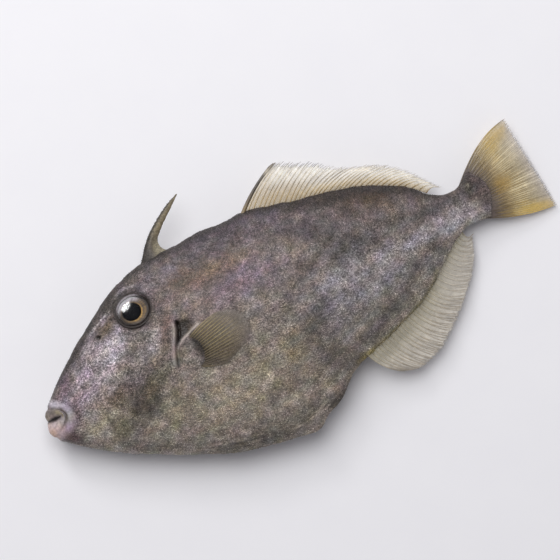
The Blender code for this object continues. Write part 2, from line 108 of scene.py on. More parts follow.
def swell(points: Array, size: float, seed: int) -> Array:
    """Soft random relief of about -1 to 1, the same on every run.

    Args:
        points: places in millimetres, one row each.
        size: the usual distance between two crests, in millimetres.
        seed: which of the many possible reliefs.

    Returns:
        One value for each place.
    """
    draw = np.random.default_rng(seed)
    total = np.zeros(len(points))
    waves = 18
    for _ in range(waves):
        direction = draw.normal(size=3)
        direction /= np.linalg.norm(direction)
        length = size * draw.uniform(0.6, 1.7)
        total += np.cos(points @ direction * 2 * math.pi / length + draw.uniform(0, 2 * math.pi))
    return total / math.sqrt(waves)


def ripples(points: Array) -> Array:
    """Fine ripples of the skin, about -1 to 1: along the head, round patches, and down the rear body."""
    x, y = points[:, 0], points[:, 1]
    found = np.zeros(len(points))
    for turn, stretch, size, seed, amount in (
        (math.radians(36), 3.2, 2.7, 14, ramp(x, 80, 60)),
        (0.0, 1.3, 2.6, 15, 0.8 * ramp(x, 56, 76) * ramp(x, 155, 125)),
        (math.radians(82), 2.4, 2.8, 16, ramp(x, 118, 150)),
    ):
        along = x * math.cos(turn) + y * math.sin(turn)
        across = y * math.cos(turn) - x * math.sin(turn)
        found += amount * swell(np.column_stack((along / stretch, across, 0 * x)), size, seed)
    return found


@dataclass(frozen=True)
class Course:
    """A smooth course of one or more values through a few places."""

    points: tuple[tuple[float, ...], ...]

    def at(self, place: Array | float) -> Array:
        """The values at each place, held constant past both ends.

        Args:
            place: where to read the course.

        Returns:
            An array shaped as place, with a last axis more where the course has several values.
        """
        table = np.array(self.points, float)
        places, values = table[:, 0], table[:, 1:]
        slopes = np.gradient(values, places, axis=0)
        place = np.clip(np.asarray(place, float), places[0], places[-1])
        i = np.clip(np.searchsorted(places, place) - 1, 0, len(places) - 2)
        width = (places[i + 1] - places[i])[..., None]
        t = (place - places[i])[..., None] / width
        found = hermite(t, values[i], values[i + 1], slopes[i], slopes[i + 1], width)
        return found[..., 0] if values.shape[1] == 1 else found


@dataclass(frozen=True)
class BodyForm:
    """The smooth body: its outline from the side and its thickness."""

    back: Course = Course((
        (0, 1.6), (3, 4.6), (10, 11.2), (20, 18.9), (30, 26.0), (45, 35.5), (60, 42.4), (75, 46.3),
        (90, 46.2), (104, 47.1), (116, 46.6), (128, 46.6), (140, 43.9), (150, 41.2), (170, 37.1),
        (190, 30.2), (205, 21.5), (213, 14.2), (221, 11.3), (226, 12.4), (231, 16.6), (236, 20.2),
    ))
    belly: Course = Course((
        (0, -13.8), (5, -18.2), (15, -26.0), (30, -35.7), (45, -43.4), (60, -50.5), (75, -56.9),
        (90, -60.2), (105, -62.9), (114, -63.6), (118, -61.8), (122, -59.0), (131, -55.2),
        (139, -48.0), (146, -44.2), (155, -41.4), (170, -36.4), (190, -28.4), (205, -17.4),
        (215, -10.4), (221, -7.6), (228, -7.4), (236, -9.2),
    ))
    half_width: Course = Course((
        (0, 4.4), (4, 5.6), (8, 6.9), (11, 7.5), (14, 7.6), (25, 9.8), (45, 13.6), (60, 16.4),
        (80, 18.8), (95, 19.2), (112, 18.9), (130, 17.6), (150, 15.0), (170, 12.2), (190, 9.2),
        (205, 6.8), (215, 5.3), (222, 4.1), (226, 3.0), (230, 1.8), (233, 1.15), (236, 0.6),
    ))
    widest_at: Course = Course((
        (0, -4.5), (20, -3), (40, 2), (60, 3), (80, 0), (100, -4), (130, -2), (160, 1), (222, 1.8),
        (236, 5),
    ))
    back_taper: Course = Course((
        (0, 0.55), (15, 0.62), (50, 0.7), (90, 0.72), (150, 0.72), (190, 0.68), (222, 0.55),
        (236, 0.5),
    ))
    belly_taper: Course = Course((
        (0, 0.5), (15, 0.6), (45, 0.75), (75, 0.92), (100, 1.15), (120, 1.3), (140, 1.05),
        (165, 0.8), (222, 0.55), (236, 0.5),
    ))
    middle_height: Course = Course((
        (0, 14.4), (20, 15.1), (40, 15.8), (60, 16.2), (130, 16.2), (150, 15.7), (190, 13.0),
        (225, 10.3), (236, 9.4),
    ))
    edge_half: float = 1.2
    edge_taper: float = 0.4
    tail_end: float = 236.0

    def half(self, x: Array, share: Array, upper: Array) -> Array:
        """Half of the thickness at x, a share of the way from the widest level to the edge."""
        taper = np.where(upper, self.back_taper.at(x), self.belly_taper.at(x))
        left = np.clip(1 - share**2, 0, 1)
        swelling = (self.half_width.at(x) - self.edge_half) * left**taper
        return self.edge_half * left**self.edge_taper + swelling

    def flank_half(self, x: Array, y: Array) -> Array:
        """Half of the thickness at places seen from the side."""
        widest = self.widest_at.at(x)
        upper = y > widest
        edge = np.where(upper, self.back.at(x), self.belly.at(x))
        return self.half(x, np.clip((y - widest) / (edge - widest), 0, 1), upper)

    def flank(self, x: Array, y: Array, side: int = 1) -> Array:
        """Height of a flank at places seen from the side: the left one for side 1, the right for -1."""
        return self.middle_height.at(x) + side * self.flank_half(x, y)

    def seat(self, at: tuple[float, float], side: int, lean: float, out: float) -> tuple[Array, Array]:
        """A place on a flank and the directions of what sits there.

        Args:
            at: the place, seen from the side.
            side: 1 for the left flank, -1 for the right one.
            lean: how far the seat turns towards the back, in radians.
            out: how far it stands off the flank.

        Returns:
            The seat's middle, and a matrix whose columns are its own x, y and outward directions.
        """
        x, y = at
        outward = np.array((0.0, math.sin(lean), side * math.cos(lean)))
        along = np.array((1.0, 0.0, 0.0))
        turned = np.column_stack((along, np.cross(outward, along), outward))
        base = np.array((x, y, float(self.flank(np.array(x), np.array(y), side))))
        return base + outward * out, turned


FORM = BodyForm()


def off_route(x: Array, y: Array, route: Course) -> tuple[Array, Array]:
    """Where places lie beside a route.

    Args:
        x: the places' distance along the fish.
        y: their level.
        route: the route, as x and y by a share from 0 to 1.

    Returns:
        Their distance from the route, above 0 on its left as it runs, and the share along it.
    """
    shares = np.linspace(0, 1, ROUTE_STEPS + 1)
    line = route.at(shares)
    best = np.full(x.shape, 1e9)
    off, along = np.full(x.shape, 99.0), np.zeros(x.shape)
    for share, start, end in zip(shares, line, line[1:]):
        run = end - start
        t = np.clip(((x - start[0]) * run[0] + (y - start[1]) * run[1]) / np.sum(run**2), 0, 1)
        dx, dy = x - start[0] - t * run[0], y - start[1] - t * run[1]
        far = np.hypot(dx, dy)
        closer = far < best
        best = np.where(closer, far, best)
        off = np.where(closer, far * np.where(run[0] * dy - run[1] * dx >= 0, 1, -1), off)
        along = np.where(closer, share + t / ROUTE_STEPS, along)
    return off, along


def edge_route(outline: Course, start: float, end: float) -> Course:
    """A route that follows the outline of the back or belly from one x to another."""
    shares = np.linspace(0, 1, ROUTE_STEPS + 1)
    places = start + (end - start) * shares
    return Course(tuple(zip(shares, places, outline.at(places))))


@dataclass(frozen=True)
class Gill:
    """The gill slit with its raised front edge, the hollow behind it and the fleshy root of the fin."""

    slit: Course = Course(((0, 75.4, 14.4), (0.25, 74.2, 9.6), (0.6, 70.6, 2.4), (1, 66.4, -7.6)))
    edge: Course = Course((
        (0, 69.4, -4.2), (0.2, 70.6, 0.4), (0.4, 74.0, 3.6), (0.65, 79.4, 5.7), (1, 87.0, 7.9),
    ))
    slit_depth: float = 3.0
    hollow_depth: float = 1.5
    cover_rise: float = 0.45
    rim_rise: float = 0.5
    edge_rise: float = 0.7
    lobe_at: tuple[float, float] = (76.6, -3.4)
    lobe_half: tuple[float, float, float] = (6.6, 8.2, 2.2)

    def hollow(self, x: Array, y: Array) -> Array:
        """1 in the dark hollow between the slit and the upper edge of the fin's root, 0 outside it."""
        off, along = off_route(x, y, self.slit)
        over, _ = off_route(x, y, self.edge)
        inside = ramp(off, 0.2, 1.0) * ramp(off, 9.5, 4.5) * ramp(over, -0.2, 0.9)
        return inside * ramp(along, -0.02, 0.14) * ramp(along, 0.9, 0.65)

    def relief(self, x: Array, y: Array) -> Array:
        """Height of the gill's edges and hollows over the smooth flank."""
        off, along = off_route(x, y, self.slit)
        over, out = off_route(x, y, self.edge)
        ends = ramp(along, 0.0, 0.12) * ramp(along, 1.0, 0.75)
        cover = self.cover_rise * ramp(off, -7, -1) * ramp(off, 0.2, -0.3)
        rim = cover + self.rim_rise * mound(off, -0.95, 0.6)
        slit = self.slit_depth * ramp(off, -0.35, 0.35) * ramp(off, 1.9, 0.9)
        beside = ((x - self.lobe_at[0]) / self.lobe_half[0]) ** 2
        above = ((y - self.lobe_at[1]) / self.lobe_half[1]) ** 2
        ball = np.clip(1 - beside - above, 0, 1)
        lobe = self.lobe_half[2] * ball**0.6 * ramp(x, 86, 79) * ramp(off, 0.6, 2.0)
        edge = self.edge_rise * mound(over, 0, 0.55) * ramp(out, 0.0, 0.15) * ramp(out, 1.0, 0.8)
        edge = edge * ramp(off, 0.8, 2.0)
        return ends * (rim - slit) - self.hollow_depth * self.hollow(x, y) + lobe + edge

    def bareness(self, x: Array, y: Array) -> Array:
        """1 on the smooth edges and inside the slit and the hollow, where there are no scales."""
        off, along = off_route(x, y, self.slit)
        over, out = off_route(x, y, self.edge)
        slit = ramp(off, -2.3, -1.5) * ramp(off, 2.4, 1.6) * ramp(along, 0.0, 0.1) * ramp(along, 1.0, 0.9)
        edge = ramp(np.abs(over), 0.95, 0.4) * ramp(out, 0.05, 0.2) * ramp(out, 1.0, 0.85)
        return np.maximum(np.maximum(slit, edge), 0.4 * self.hollow(x, y))


GILL = Gill()


@dataclass(frozen=True)
class EyeSeat:
    """Where the eyes are: the middle of the rim, its radius and its lean towards the back."""

    at: tuple[float, float] = (59.6, 27.1)
    lean: float = math.radians(26)
    opening: float = 8.6
    rim: float = 9.1

    def far(self, x: Array, y: Array) -> Array:
        """How far places are from the eye's middle, measured in the leaning plane of the eye."""
        return np.hypot(x - self.at[0], (y - self.at[1]) / math.cos(self.lean))


EYE_SEAT = EyeSeat()


def add(tree: Tree, kind: str, inputs: dict | None = None, **settings: object) -> bpy.types.Node:
    """Adds a node to a tree.

    Args:
        tree: the tree that takes the node.
        kind: the node's type.
        inputs: by name or number of an input, its value or the output that feeds it.
        settings: the node's own settings, by name.

    Returns:
        The new node.
    """
    node = tree.nodes.new(kind)
    for name, value in settings.items():
        setattr(node, name, value)
    for key, value in (inputs or {}).items():
        if isinstance(value, Socket):
            tree.links.new(value, node.inputs[key])
        else:
            node.inputs[key].default_value = value
    return node


def new_material(name: str) -> tuple[Material, Tree]:
    """An empty node material, named for the real substance, and its tree."""
    made = bpy.data.materials.new(name)
    made.use_nodes = True
    made.node_tree.nodes.clear()
    return made, made.node_tree


def new_tree(name: str, inputs: dict[str, str]) -> tuple[Tree, bpy.types.bpy_prop_collection]:
    """An empty geometry tree that takes a geometry and gives one back.

    Args:
        name: the tree's name.
        inputs: the kinds of its further inputs, by name.

    Returns:
        The tree and the outputs of its input node.
    """
    tree = bpy.data.node_groups.new(name, "GeometryNodeTree")
    for label, kind in {"Geometry": "Geometry", **inputs}.items():
        tree.interface.new_socket(label, in_out="INPUT", socket_type="NodeSocket" + kind)
    tree.interface.new_socket("Geometry", in_out="OUTPUT", socket_type="NodeSocketGeometry")
    return tree, add(tree, "NodeGroupInput").outputs


def end_tree(tree: Tree, shape: Socket, finish: Socket) -> Tree:
    """Ends a geometry tree with a smooth shape in its finish.

    Args:
        tree: the tree.
        shape: the output that gives the real, not instanced, shape.
        finish: the output that gives the material.

    Returns:
        The same tree.
    """
    smooth = add(tree, "GeometryNodeSetShadeSmooth", {"Geometry": shape})
    dressed = add(tree, "GeometryNodeSetMaterial", {"Geometry": smooth.outputs[0], "Material": finish})
    add(tree, "NodeGroupOutput", {0: dressed.outputs[0]})
    return tree


def make_object(
    name: str,
    points: Array,
    faces: list | Array,
    material: Material | None = None,
    edges: list | Array = (),
    attributes: dict[str, Array] | None = None,
) -> Object:
    """A smooth mesh object from points in fish millimetres.

    Args:
        name: the object's name.
        points: one row for each point.
        faces: the points of each face.
        material: its finish, if it has one.
        edges: the points of each loose edge.
        attributes: values for each point, by name; three columns make a direction, four a colour.

    Returns:
        The object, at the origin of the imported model's frame.
    """
    mesh = bpy.data.meshes.new(name)
    mesh.from_pydata((points - MIDDLE) * MM, edges, faces)
    kinds = {1: ("FLOAT", "value"), 3: ("FLOAT_VECTOR", "vector"), 4: ("FLOAT_COLOR", "color")}
    for key, values in (attributes or {}).items():
        values = np.asarray(values, np.float32)
        kind, slot = kinds[1 if values.ndim == 1 else values.shape[1]]
        mesh.attributes.new(key, kind, "POINT").data.foreach_set(slot, values.ravel())
    mesh.shade_smooth()
    if material is not None:
        mesh.materials.append(material)
    made = bpy.data.objects.new(name, mesh)
    bpy.context.scene.collection.objects.link(made)
    return made


def settle(obj: Object) -> Object:
    """Turns an object's modifiers into its own plain mesh."""
    graph = bpy.context.evaluated_depsgraph_get()
    made = bpy.data.meshes.new_from_object(obj.evaluated_get(graph), depsgraph=graph)
    obj.modifiers.clear()
    obj.data = made
    made.name = obj.name
    return obj


def grow(obj: Object, tree: Tree, **values: object) -> Object:
    """Runs a geometry tree on an object and keeps the result as its mesh.

    Args:
        obj: the object.
        tree: the geometry tree.
        values: the tree's inputs, by name with _ for each space.

    Returns:
        The object with the finished mesh.
    """
    modifier = obj.modifiers.new(tree.name, "NODES")
    modifier.node_group = tree
    for item in tree.interface.items_tree:
        key = item.name.replace(" ", "_").lower()
        if item.in_out == "INPUT" and key in values:
            modifier[item.identifier] = values[key]
    return settle(obj)


def sheet_faces(rows: int, columns: int, closed: bool = False) -> Array:
    """The four-sided faces between rows of points, with the last column joined to the first if closed."""
    across = columns if closed else columns - 1
    r, c = np.meshgrid(np.arange(rows - 1), np.arange(across), indexing="ij")
    right = (c + 1) % columns
    corners = (r * columns + c, r * columns + right, (r + 1) * columns + right, (r + 1) * columns + c)
    return np.stack(corners, -1).reshape(-1, 4)


def lofted(
    name: str, rows: Array, material: Material, attributes: dict[str, Array] | None = None
) -> Object:
    """A closed object through rows of points that each go once round it, with a cap on both end rows.

    Args:
        name: the object's name.
        rows: points by row and by place in the row.
        material: its finish.
        attributes: values for each point, by name.

    Returns:
        The object, faces outward, with a map named Unwrap of its own surface.
    """
    count, columns = rows.shape[:2]
    sides = sheet_faces(count, columns, closed=True)
    far = np.roll(rows, -1, axis=1)
    middle = rows.mean(axis=(0, 1))
    across = np.cross(far[:-1] - rows[:-1], rows[1:] - rows[:-1])
    inward = np.sum((rows[:-1] - middle) * across) < 0
    ends = [np.arange(columns)[::-1], np.arange((count - 1) * columns, count * columns)]
    faces = [*sides.tolist(), *(end.tolist() for end in ends)]
    if inward:
        sides = sides[:, ::-1]
        faces = [face[::-1] for face in faces]
    made = make_object(name, rows.reshape(-1, 3), faces, material, attributes=attributes)
    round_it = np.linalg.norm(far - rows, axis=-1)
    round_it = np.concatenate((np.zeros((count, 1)), np.cumsum(round_it, axis=1)), axis=1)
    down_it = np.linalg.norm(np.diff(rows[:, columns // 4], axis=0), axis=-1)
    down_it = np.concatenate(([0.0], np.cumsum(down_it)))
    row, column = np.divmod(sides, columns)
    wraps = (column == 0) & ((column == columns - 1).any(axis=1, keepdims=True))
    column = np.where(wraps, columns, column)
    chart = np.stack((down_it[row], round_it[row, column]), -1).reshape(-1, 2)
    corners = np.full((len(made.data.loops), 2), 0.002, np.float32)
    corners[: len(chart)] += chart / (1.02 * max(down_it[-1], round_it.max()))
    made.data.uv_layers.new(name="Unwrap").data.foreach_set("uv", corners.ravel())
    return made


def keep(obj: Object, slot: str, *replaced: str) -> Object:
    """Fixes a finished piece to the body and hides the nodes it stands for."""
    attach(obj, BODY)
    if replaced:
        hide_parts(*replaced)
    LOG.info("%s: %d faces", obj.name, len(obj.data.polygons))
    return obj


@dataclass(frozen=True)
class Marking:
    """A soft patch of colour on both flanks: its middle, length and width, its turn and its colour."""

    x: float
    y: float
    length: float
    width: float
    colour: str
    strength: float = 0.8
    turn: float = 0.0


def plain(colour: str, count: int) -> Array:
    """Rows of one colour, as linear red, green and blue."""
    return np.tile(linear(colour)[:3], (count, 1))


def dyed(colours: Array, colour: str, weight: Array) -> Array:
    """The colours with another one mixed in, by the weight at each place."""
    return colours + weight[:, None] * (np.array(linear(colour)[:3]) - colours)


def opaque(colours: Array, least: float = 0.005) -> Array:
    """The colours within their limits and with a fourth column of 1."""
    return np.column_stack((np.clip(colours, least, 1), np.ones(len(colours))))


def blended(colours: Array, points: Array, markings: tuple[Marking, ...], ragged: float) -> Array:
    """Lays markings over colours, each with an uneven edge.

    Args:
        colours: linear red, green and blue for each place, changed in place.
        points: the places.
        markings: what is laid over them, in order.
        ragged: how uneven the edges are, 0 being smooth.

    Returns:
        The same colours.
    """
    x, y = points[:, 0], points[:, 1]
    for number, mark in enumerate(markings):
        turn = math.radians(mark.turn)
        along = (x - mark.x) * math.cos(turn) + (y - mark.y) * math.sin(turn)
        across = (y - mark.y) * math.cos(turn) - (x - mark.x) * math.sin(turn)
        far = (2 * along / mark.length) ** 2 + (2 * across / mark.width) ** 2
        near = far < 6
        uneven = 1 + ragged * (
            swell(points[near], 7, 20 + number) + 0.7 * swell(points[near], 3, 90 + number)
        )
        weight = mark.strength * np.exp(-((far[near] * np.clip(uneven, 0.1, 3)) ** 1.4) * 0.7)
        colours[near] = dyed(colours[near], mark.colour, weight)
    return colours


@dataclass(frozen=True)
class Trace:
    """A soft line of colour on both flanks that follows a route, a little aside from it."""

    route: Course
    half: float
    colour: str
    strength: float = 0.8
    aside: float = 0.0
    fade: float = 0.1


def traced(colours: Array, points: Array, traces: tuple[Trace, ...]) -> Array:
    """Lays soft lines over colours.

    Args:
        colours: linear red, green and blue for each place.
        points: the places.
        traces: the lines, in order.

    Returns:
        The colours with the lines.
    """
    for trace in traces:
        off, along = off_route(points[:, 0], points[:, 1], trace.route)
        ends = ramp(along, 0, trace.fade) * ramp(along, 1, 1 - trace.fade)
        colours = dyed(colours, trace.colour, trace.strength * ends * mound(off, trace.aside, trace.half))
    return colours


@dataclass(frozen=True)
class Pattern:
    """The colours of the body, worked out for any place on it; some of them are painted highlights and
    painted shade.
    """

    # Stops from the belly edge (-1) to the back edge (1). The pale stop at -1 is painted light thrown up
    # from the floor onto the belly edge; the dark stops at 0.9 and 1 are partly the back's own colour and
    # partly painted shade where the back turns from the light.
    ground: Course = Course((
        (-1.0, *linear("a0978c")[:3]), (-0.93, *linear("8d847c")[:3]), (-0.8, *linear("a0968d")[:3]),
        (-0.45, *linear("a69b91")[:3]), (0.1, *linear("8b807c")[:3]), (0.55, *linear("7d7170")[:3]),
        (0.9, *linear("675e5c")[:3]), (1.0, *linear("4f4947")[:3]),
    ))
    markings: tuple[Marking, ...] = (
        Marking(172, 33, 84, 9, "3e342f", 0.85, -17),
        Marking(98, 29, 42, 13, "7b6350", 0.8, -4),
        Marking(116, 38, 60, 12, "645863", 0.6, 0),
        Marking(112, 17, 42, 12, "8d7788", 0.75, 3),
        Marking(140, 20, 22, 9, "8b8072", 0.5, -10),
        Marking(143, 10, 10, 6, "5e4633", 0.5, 0),
        Marking(88, 13, 22, 10, "847263", 0.5, 20),
        Marking(163, 10, 30, 14, "4a4645", 0.8, -12),
        Marking(150, 26, 22, 8, "4c4652", 0.6, -20),
        Marking(172, 24, 12, 8, "433434", 0.6, 0),
        Marking(186, 23, 22, 8, "5e4833", 0.5, -25),
        Marking(196, 10, 26, 5, "4a4644", 0.6, -12),
        Marking(214, 7, 22, 5, "4b474b", 0.7, 5),
        Marking(152, -12, 44, 26, "9b97a2", 0.65, 30),
        Marking(178, -12, 44, 14, "93909a", 0.6, 0),
        # Pale band along the tail stalk: painted highlight along its ridge.
        Marking(206, -2, 48, 8, "aba6b1", 0.7, 0),
        Marking(134, -17, 18, 15, "494546", 0.85, 40),
        Marking(136, -32, 16, 18, "554e4e", 0.6, 20),
        Marking(190, -15, 22, 7, "524846", 0.55, 35),
        Marking(203, -9, 7, 8, "443b37", 0.55, 50),
        Marking(166, -29, 40, 6, "554e4d", 0.6, 20),
        Marking(166, -22, 26, 8, "8b8679", 0.45, 15),
        Marking(97, -30, 58, 26, "b1a593", 0.8, 12),
        Marking(122, -24, 14, 10, "8a8064", 0.5, 50),
        Marking(104, -41, 50, 17, "b9ad9e", 0.75, -8),
        Marking(112, -38, 30, 8, "5c5046", 0.4, -3),
        Marking(78, -44, 36, 9, "6d6159", 0.35, -18),
        Marking(118, -52, 36, 6, "63615f", 0.4, -6),
        Marking(128, -55, 18, 5, "3e342c", 0.75, 28),
        Marking(90, -57, 60, 6, "56514e", 0.55, -13),
        Marking(64, -24, 20, 18, "8b8172", 0.6, 40),
        Marking(56, -27, 14, 9, "837e60", 0.4, 45),
        Marking(42, -17, 26, 17, "48413d", 0.85, 25),
        Marking(54, -8, 22, 10, "645b43", 0.65, 35),
        Marking(46, -3, 16, 9, "615766", 0.5, 20),
        Marking(32, -8, 18, 8, "786252", 0.6, 10),
        Marking(22, -15, 26, 11, "a79f8e", 0.8, -25),
        Marking(55, -23, 14, 9, "a89f8e", 0.7, 45),
        Marking(29, -22, 12, 8, "6d6649", 0.5, 60),
        Marking(40, -38, 30, 9, "655d54", 0.5, -26),
        # Pale lavender patches on the head, these four: painted sheen of the damp skin where the head faces
        # the light.
        Marking(28, 7, 50, 15, "b5a9b3", 0.8, 38),
        Marking(42, 13.5, 26, 7, "cdc4cf", 0.7, 50),
        Marking(62, 9, 12, 5, "cbc3c8", 0.75, 55),
        Marking(22, 2, 20, 12, "a0919a", 0.6, 20),
        Marking(72, 34, 22, 9, "807681", 0.6, 20),
        Marking(45, 25.4, 12, 5.5, "6e5e46", 0.85, 25),
        Marking(52, 29, 6, 8, "41352b", 0.8, 0),
        Marking(12, 5.5, 12, 5, "826477", 0.7, 60),
        Marking(14.5, -4, 4, 16, "7a6164", 0.6, -8),
        Marking(6.5, -15, 13, 6, "533d41", 0.9, -38),
        Marking(70.5, 11, 5, 16, "846045", 0.5, -25),
        Marking(81, -2, 5, 11, "302922", 0.9, 10),
        # The nostril's near-black pit: painted shade inside it.
        Marking(38.7, 22.5, 3.2, 2.6, "17110f", 1.0, 0),
        Marking(115, 43, 70, 7, "554f59", 0.6, 0),
        Marking(231, 10, 11, 15, "413838", 0.75, 0),
        Marking(230.5, 8, 4, 4, "7a7668", 0.5, 0),
        # The pale middle of the tail stalk: painted highlight along its ridge.
        Marking(221, -1, 26, 9, "aea6ac", 0.8, 0),
        Marking(233, 12, 10, 5, "5a504e", 0.6, 50),
        Marking(236, 4, 9, 30, "5a4e4b", 0.85, 0),
        # The knob: a dark ring round it and a pale middle, the pale middle being a painted highlight on its
        # top.
        Marking(229.8, 10.4, 4.6, 4.2, "36302e", 0.6, 0),
        Marking(229.8, 10.6, 2.0, 1.8, "8b8480", 0.9, 0),
        Marking(152, -41.5, 14, 3.4, "8a7d3a", 0.85, 12),
    )
    lips: tuple[Marking, ...] = (
        Marking(2.0, -0.4, 10, 6, "6f645f", 0.95, 0),
        Marking(5.6, -1.4, 2.6, 4, "8d7f62", 0.8, 20),
        Marking(0.5, -7.6, 11, 8.6, "cdb8b9", 1.0, -10),
        Marking(-1.4, -9.0, 4, 4, "c2a394", 0.8, 0),
        Marking(10.3, -3.0, 5.0, 13.0, "a39ba8", 0.9, 0),
        Marking(7.6, -9.8, 9, 4.4, "8f7f8d", 0.9, 30),
        # Painted highlight on the fold above the upper lip.
        Marking(5.8, 2.8, 7.6, 3.6, "c5bcc6", 0.95, -38),
        Marking(10.6, 0.4, 2.0, 6.0, "bdb4c0", 0.8, -15),
        # The near-black slit between the lips: painted shade in the closed mouth.
        Marking(2.3, -3.5, 6.6, 2.0, "15100f", 1.0, 0),
    )
    traces: tuple[Trace, ...] = (
        # Dark line along the back edge: partly the back's own colour, partly painted shade where the back
        # turns from the light.
        Trace(edge_route(FORM.back, 8, 226), 2.4, "3d3634", 0.75, -0.8, 0.04),
        # Pale lines along the belly edge: painted light thrown up from the floor.
        Trace(edge_route(FORM.belly, 14, 60), 1.6, "aca49b", 0.8, 0.6, 0.15),
        Trace(edge_route(FORM.belly, 60, 122), 1.6, "8f887f", 0.6, 0.6, 0.1),
        Trace(edge_route(FORM.belly, 154, 204), 1.0, "a39b84", 0.6, 1.6, 0.08),
        Trace(edge_route(FORM.belly, 156, 200), 0.7, "857a45", 0.7, 0.6, 0.1),
        Trace(GILL.slit, 2.2, "7c7472", 0.5, -3.0),
        # Pale line on the slit's raised front rim: its pale skin brightened by a painted highlight.
        Trace(GILL.slit, 0.9, "aea5a1", 0.6, -1.3, 0.15),
        # The near-black slit: painted shade inside it.
        Trace(GILL.slit, 0.9, "1a1514", 1.0, 0.75, 0.05),
        # Pale line on the fin root's raised upper edge: partly pale skin, partly a painted highlight.
        Trace(GILL.edge, 0.6, "bbb2ab", 0.75, 0.1),
        Trace(GILL.edge, 1.0, "4d4541", 0.6, -1.9),
        Trace(Course((
            (0, 77.2, 3.0), (0.3, 80.6, 0.2), (0.55, 82.0, -3.6), (0.8, 81.8, -7.4), (1, 79.6, -11.0),
        )), 1.3, "2b2521", 0.85, 0.0, 0.2),
        # Painted highlights: a damp fold from beside the nostril towards the eye, and an arc above the eye.
        Trace(Course(((0, 33.0, 24.4), (0.5, 41.0, 28.2), (1, 51.0, 32.6))), 0.55, "c4bcbb", 0.6, 0.0, 0.3),
        Trace(Course(((0, 52.0, 35.2), (0.5, 59.5, 38.2), (1, 68.0, 36.6))), 0.7, "b3aab0", 0.5, 0.0, 0.3),
    )
    mouth: tuple[Trace, ...] = (
        Trace(Course((
            (0, 5.6, 6.2), (0.25, 10.4, 2.7), (0.5, 13.4, -4.4), (0.75, 11.4, -10.4), (1, 4.4, -15.8),
        )), 1.0, "553f48", 0.5, 0.0, 0.12),
        Trace(Course((
            (0, 5.0, 3.6), (0.25, 8.2, 1.9), (0.5, 10.0, -2.6), (0.75, 9.0, -8.2), (1, 4.0, -11.4),
        )), 0.9, "beb4c1", 0.5, 0.0, 0.2),
        Trace(Course((
            (0, 4.2, 1.4), (0.25, 7.3, -0.6), (0.5, 8.5, -3.5), (0.75, 7.6, -6.2), (1, 4.5, -8.6),
        )), 0.75, "5b4c43", 0.85, 0.0, 0.3),
        Trace(Course(((0, 5.2, -0.6), (0.5, 7.0, -2.8), (1, 6.2, -5.2))), 0.4, "8a7850", 0.7, 0.0, 0.35),
        # The dark slit between the lips: painted shade in the closed mouth.
        Trace(Course(((0, -1.6, -3.45), (1, 5.9, -3.5))), 0.45, "2a211f", 0.9, 0.0, 0.05),
        Trace(Course(((0, -0.4, -3.5), (0.5, 2.6, -3.4), (1, 5.6, -3.5))), 0.85, "171110", 1.0, 0.0, 0.45),
    )
    # Painted shade in the hollow behind the gill slit.
    hollow: str = "1b1513"
    rim: str = "39312f"
    ragged: float = 0.22

    def eye_rim(self, found: Array, x: Array, y: Array) -> Array:
        """Darkens the thin skin round the eye."""
        r = EYE_SEAT.far(x, y)
        return dyed(found, self.rim, 0.9 * mound(r, EYE_SEAT.rim, 0.75) + 0.35 * mound(r, 10.7, 0.5))

    def colours(self, points: Array) -> Array:
        """The colour at each place, as linear red, green, blue and 1.

        Args:
            points: places on the skin.

        Returns:
            One row of four numbers for each place.
        """
        x, y = points[:, 0], points[:, 1]
        widest = FORM.widest_at.at(x)
        above = FORM.back.at(x) - widest
        below = widest - FORM.belly.at(x)
        level = np.where(y > widest, (y - widest) / above, (y - widest) / below)
        found = self.ground.at(level + 0.12 * swell(points, 14, 3))
        found = blended(found, points, self.markings, self.ragged)
        patchy = np.tanh(2 * swell(points, 11, 9)) * ramp(x, 70, 95) * (1 - 0.75 * ramp(x, 160, 185))
        cloudy = 0.12 * swell(points, 9, 4) + 0.11 * swell(points, 4.5, 5)
        cloudy += 0.1 * ripples(points) + 0.17 * patchy
        found *= np.exp(cloudy * ramp(x, 12, 24))[:, None]
        # The hollow behind the gill slit, darkened with painted shade.
        found = dyed(found, self.hollow, 0.9 * GILL.hollow(x, y))
        found = self.eye_rim(traced(found, points, self.traces), x, y)
        found = traced(blended(found, points, self.lips, 0.06), points, self.mouth)
        red, blue = 0.975 + 0.05 * swell(points, 6, 6), 0.93 + 0.07 * swell(points, 8, 7)
        return opaque(found * np.column_stack((red, np.full(len(x), 0.955), blue)))


@dataclass(frozen=True)
class Ring:
    """A ring of the snout's surface, from the mouth out to the head.

    top and bottom are x and y on the midline above and below, side is x and y beside the mouth,
    and half is half of the ring's width. A ring on the head takes its y and width from the head.
    """

    top: tuple[float, float]
    side: tuple[float, float]
    bottom: tuple[float, float]
    half: float
    on_head: bool = False
    swell: float = 1.0


